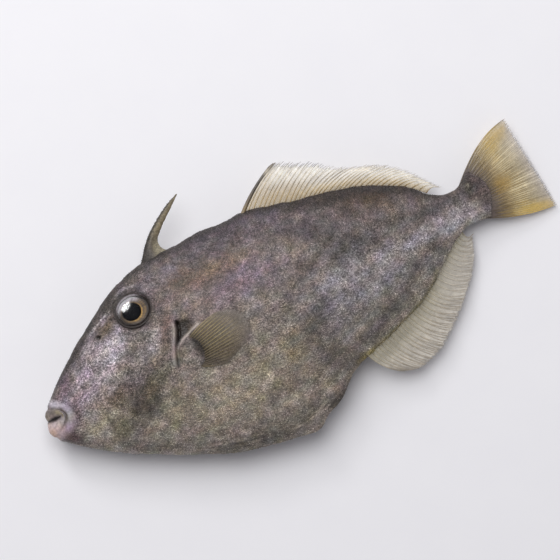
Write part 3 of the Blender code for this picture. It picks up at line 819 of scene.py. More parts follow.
@dataclass
class Skin:
    """The one skin of head, trunk and tail stalk, with the lips, folds, gill slit and eye sockets."""

    rings: tuple[Ring, ...] = (
        Ring((0.6, -3.48), (4.4, -3.5), (0.6, -3.52), 2.2, swell=0.4),
        Ring((-0.4, -3.46), (5.6, -3.5), (-0.5, -3.54), 4.3, swell=0.4),
        Ring((-1.2, -3.2), (6.1, -3.5), (-1.6, -3.8), 5.1, swell=0.5),
        Ring((-1.35, -0.5), (6.9, -3.55), (-2.8, -8.0), 5.7, swell=0.9),
        Ring((0.1, 1.6), (7.6, -3.6), (-1.8, -10.9), 5.8),
        Ring((1.3, 2.2), (8.2, -3.6), (-0.5, -12.1), 5.1),
        Ring((2.3, 4.2), (9.8, -3.7), (0.4, -14.3), 6.5),
        Ring((5.2, 0), (13.4, 0), (3.2, 0), 0, True),
        Ring((9.4, 0), (16.0, 0), (7.6, 0), 0, True),
        Ring((14.2, 0), (18.5, 0), (12.6, 0), 0, True),
    )
    ring_steps: int = 5
    left_points: int = 200
    right_points: int = 80
    head_end: float = 88.0
    head_step: float = 0.5
    trunk_step: float = 1.05
    skew_end: float = 36.0
    tail_corners: tuple[float, float] = (5.2, 4.6)
    cap: tuple[tuple[float, float], ...] = ((0.7, 0.78), (1.5, 0.5), (2.3, 0.22), (2.6, 0.08))
    nostril_at: tuple[float, float] = (38.7, 22.5)
    knob_at: tuple[float, float] = (229.6, 10.4)
    stub_at: tuple[float, float] = (114.6, -62.2)
    stub_lean: float = math.radians(12)
    clear_of_floor: float = 0.15
    # Painted shade on the inside faces of the lips.
    mouth_shade: str = "1a1413"
    creases: tuple[tuple[Course, float, float], ...] = (
        (Course(((0, 50, -40.5), (0.5, 66, -47.4), (1, 88, -52.6))), 0.34, 0.8),
        (Course(((0, 58, -46.0), (0.5, 74, -52.2), (1, 96, -56.4))), 0.28, 0.7),
        (Course(((0, 100, -56.6), (0.5, 112, -56.8), (1, 126, -51.4))), 0.3, 0.8),
        (Course(((0, 106, -59.6), (0.5, 116, -57.8), (1, 133, -49.6))), 0.24, 0.6),
        (Course(((0, 34, -33.8), (0.5, 46, -39.8), (1, 56, -45.0))), 0.2, 0.7),
        (Course(((0, 51.5, 35.6), (0.5, 47.5, 29.5), (1, 50, 21.5))), 0.2, 0.55),
        (Course(((0, 49.5, 33.8), (0.5, 45.6, 28.2), (1, 47.6, 22.6))), 0.14, 0.5),
        (Course(((0, 41.5, 27.2), (0.5, 46, 29.3), (1, 50.5, 31.4))), 0.16, 0.6),
        (Course(((0, 42.0, 21.0), (0.5, 47, 22.0), (1, 51.5, 20.4))), 0.14, 0.6),
    )
    points: Array = field(init=False)
    outward: Array = field(init=False)
    shape: tuple[int, int] = field(init=False)

    def turns(self) -> Array:
        """Angles round the body: 0 at the back, then down the left flank and up the right one."""
        left = np.linspace(0, math.pi, self.left_points, endpoint=False)
        right = np.linspace(math.pi, 2 * math.pi, self.right_points, endpoint=False)
        return np.concatenate((left, right))

    def on_body(self, x: Array, turn: Array) -> Array:
        """Points of the smooth body at x and an angle round it, evenly spread behind the snout."""
        reach = np.abs(np.cos(turn))
        quarter = 1 - np.abs(1 - np.mod(turn, math.pi) / (math.pi / 2))
        even = ramp(x, 14, 40)
        share = (1 - even) * reach + even * (1 - quarter**1.3)
        upper = np.cos(turn) > 0
        widest = FORM.widest_at.at(x)
        edge = np.where(upper, FORM.back.at(x), FORM.belly.at(x))
        side = np.where(np.sin(turn) > 1e-9, 1, np.where(np.sin(turn) < -1e-9, -1, 0))
        z = FORM.middle_height.at(x) + side * FORM.half(x, share, upper)
        return np.stack((x, widest + share * (edge - widest), z), -1)

    def ring_points(self, ring: Ring, turn: Array) -> Array:
        """The points of one ring of the snout."""
        reach = np.abs(np.cos(turn))
        upper = np.cos(turn) > 0
        far = np.where(upper, ring.top[0], ring.bottom[0])
        x = ring.side[0] + (far - ring.side[0]) * reach**2
        if ring.on_head:
            return self.on_body(x, turn)
        level = np.where(upper, ring.top[1], ring.bottom[1])
        y = ring.side[1] + (level - ring.side[1]) * reach**ring.swell
        return np.stack((x, y, FORM.middle_height.at(x) + ring.half * np.sin(turn)), -1)

    def snout(self, turn: Array) -> Array:
        """Rows of points from inside the mouth to the last ring, on smooth lines through the rings."""
        rings = np.array([self.ring_points(ring, turn) for ring in self.rings])
        slopes = np.gradient(rings, axis=0)
        rows = []
        for near in range(len(rings) - 1):
            for t in np.arange(self.ring_steps) / self.ring_steps:
                rows.append(hermite(t, rings[near], rings[near + 1], slopes[near], slopes[near + 1]))
        return np.array(rows)

    def trunk(self, turn: Array) -> Array:
        """Rows of points from the last ring of the snout to the end of the tail stalk."""
        last = self.rings[-1]
        start = last.side[0]
        head = np.arange(start, self.head_end, self.head_step)
        steps = round((FORM.tail_end - self.head_end) / self.trunk_step)
        rear = np.linspace(self.head_end, FORM.tail_end, steps)
        rows = []
        for station in np.concatenate((head, rear)):
            skew = np.where(np.cos(turn) > 0, last.top[0], last.bottom[0]) - start
            x = station + skew * np.cos(turn) ** 2 * (1 - ramp(station, start, self.skew_end))
            rounded = np.where(np.cos(turn) > 0, *self.tail_corners) * np.cos(turn) ** 2
            rows.append(self.on_body(x - rounded * ramp(station, 218, FORM.tail_end), turn))
        return np.array(rows)

    def relief(self, x: Array, y: Array) -> Array:
        """Height of the folds, sockets and slits over the smooth flank, in millimetres."""
        height = self.eye_relief(x, y)
        spot = np.hypot((x - self.nostril_at[0]) / 1.25, y - self.nostril_at[1])
        height += 0.22 * mound(spot, 1.7, 0.6) - 1.3 * np.exp(-((spot / 1.0) ** 3))
        knob = np.hypot(x - self.knob_at[0], y - self.knob_at[1])
        height += 0.55 * mound(knob, 0, 1.7) - 0.3 * mound(knob, 2.9, 0.8)
        height += GILL.relief(x, y)
        for route, depth, half in self.creases:
            off, _ = off_route(x, y, route)
            height -= depth * mound(off, 0, half) - 0.5 * depth * mound(np.abs(off), 1.7 * half, half)
        right, up = x - self.stub_at[0], y - self.stub_at[1]
        cos, sin = math.cos(self.stub_lean), math.sin(self.stub_lean)
        along = right * cos + up * sin
        across = up * cos - right * sin
        height += 0.5 * np.exp(-((along / 4.0) ** 4) - (across / 1.6) ** 2)
        return height

    def eye_relief(self, x: Array, y: Array) -> Array:
        """The socket, its raised rim and the soft cushion round it."""
        seat = EYE_SEAT
        r = seat.far(x, y)
        places = np.stack((x, y, 0 * x), -1).reshape(-1, 3)
        uneven = 1 + 0.35 * swell(places, 3.0, 17).reshape(x.shape)
        rim = 0.26 * uneven * mound(r - seat.rim, 0.3, 0.8)
        cushion = 0.28 * uneven * mound(r, 11.6, 1.2) - 0.16 * mound(r, 10.4, 0.5)
        return rim + cushion - 4.2 * ramp(r, seat.rim, seat.opening - 0.3)

    def shape_points(self) -> None:
        """Works out every point of the skin and the direction that it faces."""
        turn = self.turns()
        rows = np.concatenate((self.snout(turn), self.trunk(turn)))
        end = rows[-1].copy()
        middle = FORM.middle_height.at(FORM.tail_end)
        for further, share in self.cap:
            row = end.copy()
            row[:, 0] += further
            row[:, 2] = middle + (end[:, 2] - middle) * share
            rows = np.concatenate((rows, row[None]))
        self.shape = rows.shape[:2]
        outward = self.facing(rows)
        x, y = rows[..., 0], rows[..., 1]
        flat = ramp(np.abs(outward[..., 2]), 0.25, 0.6)
        places = rows.reshape(-1, 3)
        height = self.relief(x, y) * flat
        broad = 0.2 * swell(places, 13, 1) + 0.06 * swell(places, 4.5, 2)
        thick_part = ramp(places[:, 0], FORM.tail_end, FORM.tail_end - 12)
        uneven = (broad + 0.11 * ripples(places)) * ramp(places[:, 0], 14, 28) * thick_part
        coated = (1 - self.bareness(places)) * (0.3 + 0.7 * thick_part)
        height += uneven.reshape(self.shape)
        height -= COAT_DEPTH * coated.reshape(self.shape)
        rows = rows + outward * height[..., None]
        rows[..., 2] = np.maximum(rows[..., 2], COAT_DEPTH + self.clear_of_floor)
        self.outward = self.facing(rows).reshape(-1, 3)
        self.points = rows.reshape(-1, 3)

    def facing(self, rows: Array) -> Array:
        """The outward direction at each point of closed rows."""
        round_body = np.roll(rows, -1, axis=1) - np.roll(rows, 1, axis=1)
        down_body = np.gradient(rows, axis=0)
        found = np.cross(round_body, down_body)
        found /= np.maximum(np.linalg.norm(found, axis=-1, keepdims=True), 1e-9)
        middle = rows.shape[0] // 2, self.left_points // 2
        return found if found[middle][2] > 0 else -found

    def bareness(self, points: Array) -> Array:
        """1 where the skin is smooth and without spinules, 0 where it has its full coat."""
        x, y = points[:, 0], points[:, 1]
        mouth = ramp(np.hypot((x - 2.4) / 10.2, (y + 4.6) / 9.0), 1.14, 0.86)
        eye = ramp(EYE_SEAT.far(x, y), EYE_SEAT.rim + 0.5, EYE_SEAT.rim - 0.2)
        spot = ramp(np.hypot(x - self.nostril_at[0], y - self.nostril_at[1]), 2.0, 1.2)
        return np.clip(mouth + eye + spot + GILL.bareness(x, y), 0, 1)

    def pile(self, points: Array) -> Array:
        """The direction in which the spinules lie: along the head, slanting down the rear body."""
        x, y = points[:, 0], points[:, 1]
        slant = np.radians(18 - 60 * ramp(x, 90, 190) * ramp(np.abs(y), 60, 0) + 14 * swell(points, 22, 8))
        return np.column_stack((np.cos(slant), np.sin(slant), np.zeros(len(x))))

    def crispness(self, points: Array) -> Array:
        """How strong the skin's grain is: most on the upper head, least on the belly."""
        x, y = points[:, 0], points[:, 1]
        return 0.6 + 0.2 * ramp(y, -25, 0) + 0.45 * ramp(x, 82, 55) * ramp(y, -14, 2)

    def part_of(self, points: Array) -> Array:
        """The number of the coat piece that covers each place."""
        length = np.searchsorted(np.array(COAT_PARTS), points[:, 0])
        return length + (len(COAT_PARTS) + 1) * (points[:, 2] < FORM.middle_height.at(points[:, 0]))

    def build(self, material: Material) -> Object:
        """Makes the skin.

        Args:
            material: its finish.

        Returns:
            The finished object, with the values that its coat grows from.
        """
        self.shape_points()
        bare = self.bareness(self.points)
        tone = Pattern().colours(self.points)
        row = np.arange(len(self.points)) // self.shape[1]
        # Painted shade deep in the mouth, on the inside faces of the lips.
        inside = ramp(row / self.ring_steps, 1.9, 1.3)
        tone[:, :3] = dyed(tone[:, :3], self.mouth_shade, inside)
        values = {
            "tone": tone,
            "bare": bare,
            "coat": (1 - bare) * ramp(self.points[:, 0], FORM.tail_end - 3, FORM.tail_end - 15),
            "pile": self.pile(self.points),
            "part": self.part_of(self.points),
            "crisp": self.crispness(self.points),
        }
        return lofted("skin", self.points.reshape(*self.shape, 3), material, values)


@dataclass
class Coat:
    """The spinules of the skin: a low leaning cone on each scale, set by a geometry tree."""

    spacing: float = 0.66
    length: float = 0.76
    seed: int = 11
    sides: int = 5
    foot: tuple[float, float, float] = (0.42, 0.34, -0.12)
    tip: tuple[float, float, float] = (0.3, 0.0, 0.32)
    sizes: tuple[float, float] = (0.75, 1.3)
    sway: tuple[tuple[float, float, float], ...] = ((-0.12, -0.3, -0.5), (0.12, 0.12, 0.5))
    densest: float = 6.0e6
    patch: float = 0.003
    grain: float = 1.5
    unevenness: float = 2.4
    seedling: Object = field(init=False)
    scatter: Tree = field(init=False)

    def __post_init__(self) -> None:
        """Makes the one spinule and the tree that repeats it."""
        self.seedling = self.spinule()
        self.scatter = self.tree()

    def spinule(self) -> Object:
        """One closed spinule of unit size, leaning along x, with its own small patch on the map."""
        angles = np.arange(self.sides) * 2 * math.pi / self.sides
        wide, deep, low = self.foot
        base = np.column_stack((wide * np.cos(angles), deep * np.sin(angles), np.full(self.sides, low)))
        corners = np.concatenate((base, [self.tip]))
        faces = [(i, (i + 1) % self.sides, self.sides) for i in range(self.sides)]
        faces.append(tuple(range(self.sides - 1, -1, -1)))
        mesh = bpy.data.meshes.new("spinule")
        mesh.from_pydata(corners, [], faces)
        chart = mesh.uv_layers.new(name="OFBake")
        for loop in mesh.loops:
            point = corners[loop.vertex_index]
            chart.data[loop.index].uv = (point[0] * self.patch, point[1] * self.patch)
        made = bpy.data.objects.new("spinule", mesh)
        bpy.context.scene.collection.objects.link(made)
        return made

    def roots(self, tree: Tree, given: bpy.types.bpy_prop_collection) -> bpy.types.Node:
        """The points where spinules stand, spread over one part of the skin.

        Args:
            tree: the tree.
            given: the tree's inputs.

        Returns:
            The node that gives the points and their normals.
        """
        coat = add(tree, "GeometryNodeInputNamedAttribute", {"Name": "coat"}, data_type="FLOAT")
        part = add(tree, "GeometryNodeInputNamedAttribute", {"Name": "part"}, data_type="FLOAT")
        here = add(tree, "FunctionNodeCompare", {0: part.outputs[0], 1: given["Part"], 12: 0.4},
                   data_type="FLOAT", operation="EQUAL")
        return add(tree, "GeometryNodeDistributePointsOnFaces", {
            "Mesh": given["Geometry"], "Selection": here.outputs[0], "Distance Min": given["Spacing"],
            "Density Max": self.densest, "Density Factor": coat.outputs[0], "Seed": given["Seed"],
        }, distribute_method="POISSON")

    def lie(self, tree: Tree, normal: Socket, seed: Socket) -> Socket:
        """How each spinule lies: off the skin and along the pile, leaning unevenly.

        Args:
            tree: the tree.
            normal: the skin's normal at each point.
            seed: the seed of the random turn.

        Returns:
            The output with each spinule's rotation.
        """
        pile = add(tree, "GeometryNodeInputNamedAttribute", {"Name": "pile"}, data_type="FLOAT_VECTOR")
        grain = add(tree, "ShaderNodeTexNoise", {
            "Vector": add(tree, "GeometryNodeInputPosition").outputs[0], "Scale": 1 / (self.grain * MM),
            "Detail": 1.0,
        })
        lean = add(tree, "ShaderNodeVectorMath", {0: grain.outputs["Color"], 1: (0.5, 0.5, 0.5)},
                   operation="SUBTRACT")
        lean = add(tree, "ShaderNodeVectorMath", {0: lean.outputs[0], "Scale": self.unevenness},
                   operation="SCALE")
        facing = add(tree, "ShaderNodeVectorMath", {0: normal, 1: lean.outputs[0]}, operation="ADD")
        upright = add(tree, "FunctionNodeAlignRotationToVector", {"Vector": facing.outputs[0]}, axis="Z")
        laid = add(tree, "FunctionNodeAlignRotationToVector", {
            "Rotation": upright.outputs[0], "Vector": pile.outputs[0],
        }, axis="X", pivot_axis="Z")
        yaw = add(tree, "FunctionNodeRandomValue", {
            0: self.sway[0], 1: self.sway[1], "Seed": seed,
        }, data_type="FLOAT_VECTOR")
        turned = add(tree, "FunctionNodeRotateRotation", {0: laid.outputs[0], 1: yaw.outputs[0]},
                     rotation_space="LOCAL")
        return turned.outputs[0]

    def tree(self) -> Tree:
        """The geometry tree that scatters spinules over one part of the skin."""
        tree, given = new_tree("spinule coat", {
            "Spacing": "Float", "Size": "Float", "Part": "Int", "Seed": "Int", "Spinule": "Object",
            "Finish": "Material",
        })
        spots = self.roots(tree, given)
        size = add(tree, "FunctionNodeRandomValue", {2: self.sizes[0], 3: self.sizes[1], "Seed": 5},
                   data_type="FLOAT")
        scaled = add(tree, "ShaderNodeMath", {0: size.outputs[1], 1: given["Size"]}, operation="MULTIPLY")
        shape = add(tree, "GeometryNodeObjectInfo", {"Object": given["Spinule"]})
        placed = add(tree, "GeometryNodeInstanceOnPoints", {
            "Points": spots.outputs["Points"], "Instance": shape.outputs["Geometry"],
            "Rotation": self.lie(tree, spots.outputs["Normal"], given["Seed"]), "Scale": scaled.outputs[0],
        })
        chance = add(tree, "FunctionNodeRandomValue", {2: 0.0, 3: 1.0, "Seed": 9}, data_type="FLOAT")
        lit = add(tree, "GeometryNodeStoreNamedAttribute", {
            "Geometry": placed.outputs[0], "Name": "glint", "Value": chance.outputs[1],
        }, data_type="FLOAT", domain="INSTANCE")
        real = add(tree, "GeometryNodeRealizeInstances", {"Geometry": lit.outputs[0]})
        root = add(tree, "GeometryNodeInputNamedAttribute", {"Name": "Unwrap"}, data_type="FLOAT_VECTOR")
        own = add(tree, "GeometryNodeInputNamedAttribute", {"Name": "OFBake"}, data_type="FLOAT_VECTOR")
        spot = add(tree, "ShaderNodeVectorMath", {0: root.outputs[0], 1: own.outputs[0]}, operation="ADD")
        mapped = add(tree, "GeometryNodeStoreNamedAttribute", {
            "Geometry": real.outputs[0], "Name": "OFBake", "Value": spot.outputs[0],
        }, data_type="FLOAT2", domain="CORNER")
        return end_tree(tree, mapped.outputs[0], given["Finish"])

    def grown(self, name: str, base: Object, part: int, material: Material) -> Object:
        """Grows one piece of coat.

        Args:
            name: the piece's name.
            base: the object that it grows on.
            part: the number of the part of the base that it covers.
            material: the spinules' finish.

        Returns:
            The piece.
        """
        piece = bpy.data.objects.new(name, base.data.copy())
        bpy.context.scene.collection.objects.link(piece)
        grow(piece, self.scatter, spacing=self.spacing * MM, size=self.length * MM, part=part,
             seed=self.seed + part, spinule=self.seedling, finish=material)
        return piece


@dataclass(frozen=True)
class EdgeLines:
    """The ray lines of a fin along the back (side 1) or the belly (side -1)."""

    outline: Course
    root: tuple[float, float]
    reach: Course
    edge: Course
    drop: float
    side: int
    clear: float = 0.5
    wave: float = 0.5
    bow: float = 1.0
    curl: float = 0.0
    unrest: float = 0.0
    scallop: float = 0.0
    scallops: int = 1

    def at(self, u: Array, v: Array) -> Array:
        """Points a share u across the fin and a share v out along its rays."""
        x = self.root[0] + (self.root[1] - self.root[0]) * u
        x = x + self.unrest * np.sin(u * 41 + 1) * np.sin(u * 67)
        rise = self.outline.at(x + 1) - self.outline.at(x - 1)
        level = self.outline.at(x) + self.side * self.clear * np.hypot(2, rise) / 2
        foot = np.stack((x, level, FORM.middle_height.at(x)), -1)
        tip_x = x + self.reach.at(x)
        tip = np.stack((tip_x, self.edge.at(tip_x), foot[..., 2] - self.drop), -1)
        cut = self.scallop * np.abs(np.sin(math.pi * u * self.scallops))
        run = (tip - foot) * (1 - cut)[..., None]
        points = foot + run * v[..., None]
        ahead = np.stack((-run[..., 1], run[..., 0]), -1)
        ahead = ahead / np.linalg.norm(run[..., :2], axis=-1, keepdims=True)
        points[..., :2] += ahead * (4 * v * (1 - v) * self.bow * self.side)[..., None]
        points[..., 0] += self.curl * ramp(v, 0.96, 1.06)
        points[..., 2] += self.wave * v * np.sin(u * 23) + 0.6 * self.wave * v * v * np.sin(u * 61 + 1)
        return points


@dataclass(frozen=True)
class TailLines:
    """The ray lines of the tail fin, bowed outwards near its upper and lower edge."""

    root: Course = Course((
        (0, 226.5, 12.2), (0.15, 229.5, 10.6), (0.5, 231.6, 4.6), (0.85, 231.0, -3.5), (1, 229.0, -6.4),
    ))
    tips: Course = Course((
        (0, 260.2, 31.6), (0.12, 260.8, 25.0), (0.5, 262.9, 6.0), (0.8, 264.2, -7.0), (1, 265.0, -16.6),
    ))
    bow: tuple[float, float] = (6.4, 3.5)
    tip_height: tuple[float, float] = (7.4, 2.2)
    wave: float = 0.45

    def at(self, u: Array, v: Array) -> Array:
        """Points a share u across the fin and a share v out along its rays."""
        root_height = np.broadcast_to(FORM.middle_height.at(FORM.tail_end), u.shape)[..., None]
        foot = np.concatenate((self.root.at(u), root_height), -1)
        level = self.tip_height[0] + (self.tip_height[1] - self.tip_height[0]) * u
        tip = np.concatenate((self.tips.at(u), level[..., None]), -1)
        points = foot + (tip - foot) * v[..., None]
        bow = self.bow[0] + (self.bow[1] - self.bow[0]) * u
        points[..., 1] += 2 * v * (1 - v) * bow * (1 - 2 * u) ** 3
        points[..., 2] += self.wave * v * np.sin(u * 17 + 2 * v)
        return points


@dataclass(frozen=True)
class FanLines:
    """The ray lines of a pectoral fin: on the flank (side 1), or pressed flat under the body (side -1)."""

    side: int
    middle: tuple[float, float] = (76.6, -3.4)
    lobe: tuple[float, float] = (6.6, 8.2)
    tips: Course = Course((
        (0, 96.0, 8.9), (0.2, 103.4, 6.8), (0.45, 107.6, 1.0), (0.7, 105.6, -7.4), (1, 91.0, -15.0),
    ))
    angles: tuple[float, float] = (math.radians(62), math.radians(-74))
    lift: float = 0.45
    bow: float = 1.6

    def at(self, u: Array, v: Array) -> Array:
        """Points a share u across the fin and a share v out along its rays."""
        angle = self.angles[0] + (self.angles[1] - self.angles[0]) * u
        foot = np.stack((
            self.middle[0] + (self.lobe[0] + 0.6) * np.cos(angle),
            self.middle[1] + (self.lobe[1] + 0.6) * np.sin(angle),
        ), -1)
        flat = foot + (self.tips.at(np.clip(u, 0, 1)) - foot) * v[..., None]
        x, y = flat[..., 0], flat[..., 1] + 2 * v * (1 - v) * self.bow * (1 - 2 * u) ** 3
        low = np.full(x.shape, self.lift)
        lifted = FORM.flank(x, y) + self.lift + 0.5 * np.clip(v, 0, 1) * (1 - np.clip(v, 0, 1))
        return np.stack((x, y, lifted if self.side > 0 else low), -1)


@dataclass(frozen=True)
class FinTone:
    """A fin's colours from root to tip, for its web and its rays, with the markings over them."""

    web: tuple[tuple[float, str], ...]
    ray: tuple[tuple[float, str], ...]
    markings: tuple[Marking, ...] = ()
    ray_markings: tuple[Marking, ...] = ()

    def colours(self, points: Array, v: Array, on_ray: bool) -> Array:
        """The colour of each place of the web or of a ray, v being its share out from the root."""
        stops = self.ray if on_ray else self.web
        course = Course(tuple((place, *linear(colour)[:3]) for place, colour in stops))
        found = course.at(v)
        found *= (1 + 0.07 * swell(points, 5, 31) + 0.05 * swell(points, 1.6, 32))[:, None]
        found = blended(found, points, self.markings, 0.2)
        if on_ray:
            found = blended(found, points, self.ray_markings, 0.3)
        return opaque(found)


@dataclass(frozen=True)
class Fin:
    """A fin: a thin web between jointed rays that branch towards the edge."""

    name: str
    lines: EdgeLines | TailLines | FanLines
    rays: int
    tone: FinTone
    slot: str = "fin_membrane"
    start: float = -0.1
    splits: tuple[float, ...] = (0.62,)
    thickness: tuple[float, float] = (0.34, 0.15)
    leading: float = 1.0
    notch: float = 0.05
    teeth: int = 1
    ragged: float = 0.012
    overhang: float = 0.0
    spread: float = 1.0
    end: float = 1.0
    web_thickness: float = 0.12
    steps: int = 30
    between: int = 8

    def web(self, material: Material) -> Object:
        """The thin web, darker along each ray and cut back between the ray tips."""
        columns = (self.rays - 1) * self.between + 1
        u = np.linspace(0, 1, columns)
        phase = np.mod(u * (self.rays - 1), 1)
        cut = self.notch * np.sin(math.pi * np.mod(phase * self.teeth, 1)) ** 0.8
        uneven = self.ragged * swell(np.column_stack((u * 400, 0 * u, 0 * u)), 9, 41)
        shares = np.linspace(0, 1, self.steps)[:, None]
        v = self.start + (self.end - cut + uneven - self.start) * shares
        points = self.lines.at(np.broadcast_to(u, v.shape), v).reshape(-1, 3)
        flat = v.reshape(-1)
        tone = self.tone.colours(points, flat, on_ray=False)
        crease = np.broadcast_to(0.86 + 0.14 * np.sin(math.pi * phase), v.shape).reshape(-1)
        tone[:, :3] *= crease[:, None]
        faces = sheet_faces(self.steps, columns).tolist()
        made = make_object(self.name + "_web", points, faces, material, attributes={"tone": tone})
        shell = made.modifiers.new("thickness", "SOLIDIFY")
        shell.thickness = self.web_thickness * MM
        shell.offset = 0
        return settle(made)

    def branches(self, number: int) -> list[tuple[Array, Array, Array]]:
        """One ray's stem and branches, each as shares across and along the fin and its radius."""
        pitch = 1 / (self.rays - 1)
        stops = (self.start, *self.splits, 1 + self.overhang)
        offsets = [()]
        found = []
        for level, (near, far) in enumerate(zip(stops, stops[1:])):
            offsets = [(*past, side) for past in offsets for side in ((-1, 1) if level else (0,))]
            for past in offsets:
                v = np.linspace(near, far, 14 if level else 20)
                within = 0 < number < self.rays - 1
                u = np.full(v.shape, number * pitch) + 0.12 * pitch * math.sin(5 * number) * within
                for depth, side in enumerate(past[1:]):
                    split = self.splits[depth]
                    uneven = 1 + 0.25 * math.sin(7 * number + 3 * depth + side)
                    apart = ramp(v, split - 0.02, min(split + self.spread, 1.05)) ** 0.7
                    u += side * pitch * 0.25 / 2**depth * uneven * apart
                thick = self.thickness[0] + (self.thickness[1] - self.thickness[0]) * np.clip(v, 0, 1)
                thick = thick * 0.9**level * (self.leading if number == 0 else 1)
                found.append((u, v, thick * (1 - 0.5 * ramp(v, 0.93, 1 + self.overhang))))
        return found

    def spokes(self, tree: Tree, material: Material) -> Object:
        """All rays of the fin, as thin tapered rods."""
        u, v, thick, edges = [], [], [], []
        for number in range(self.rays):
            for branch in self.branches(number):
                first = sum(len(part) for part in u)
                edges += [(first + i, first + i + 1) for i in range(len(branch[0]) - 1)]
                for values, part in zip((u, v, thick), branch):
                    values.append(part)
        u, v, thick = (np.concatenate(parts) for parts in (u, v, thick))
        points = self.lines.at(u, v)
        points[:, 2] = np.maximum(points[:, 2], thick + 0.02)
        values = {"radius": thick * MM, "tone": self.tone.colours(points, v, on_ray=True)}
        made = make_object(self.name + "_rays", points, [], edges=edges, attributes=values)
        return grow(made, tree, finish=material)

    def build(self, tree: Tree, web: Material, ray: Material) -> None:
        """Makes the fin's web and rays, which stand for its node."""
        keep(self.web(web), self.slot, self.name)
        keep(self.spokes(tree, ray), self.slot)


def rod_tree() -> Tree:
    """The geometry tree that makes a closed rod along each line, as thick as the line's radius says."""
    tree, given = new_tree("fin ray rods", {"Finish": "Material"})
    radius = add(tree, "GeometryNodeInputNamedAttribute", {"Name": "radius"}, data_type="FLOAT")
    lines = add(tree, "GeometryNodeMeshToCurve", {"Mesh": given["Geometry"]})
    profile = add(tree, "GeometryNodeCurvePrimitiveCircle", {"Resolution": 6, "Radius": 1.0})
    rods = add(tree, "GeometryNodeCurveToMesh", {
        "Curve": lines.outputs[0], "Profile Curve": profile.outputs[0], "Scale": radius.outputs[0],
        "Fill Caps": True,
    })
    real = add(tree, "GeometryNodeRealizeInstances", {"Geometry": rods.outputs[0]})
    return end_tree(tree, real.outputs[0], given["Finish"])


def tail_root() -> Fin:
    """The flesh that runs out over the roots of the tail fin's rays in ragged fingers."""
    tone = FinTone(
        web=((-0.16, "5a4e4b"), (0.15, "5f534e"), (0.28, "6f6152"), (0.45, "8a7856")),
        ray=((0, "5d524f"), (1, "5d524f")),
    )
    return Fin(
        "caudal_root", TailLines(), 12, tone, start=-0.16, end=0.4, notch=0.24, teeth=2, ragged=0.06,
        between=24, web_thickness=0.6,
    )


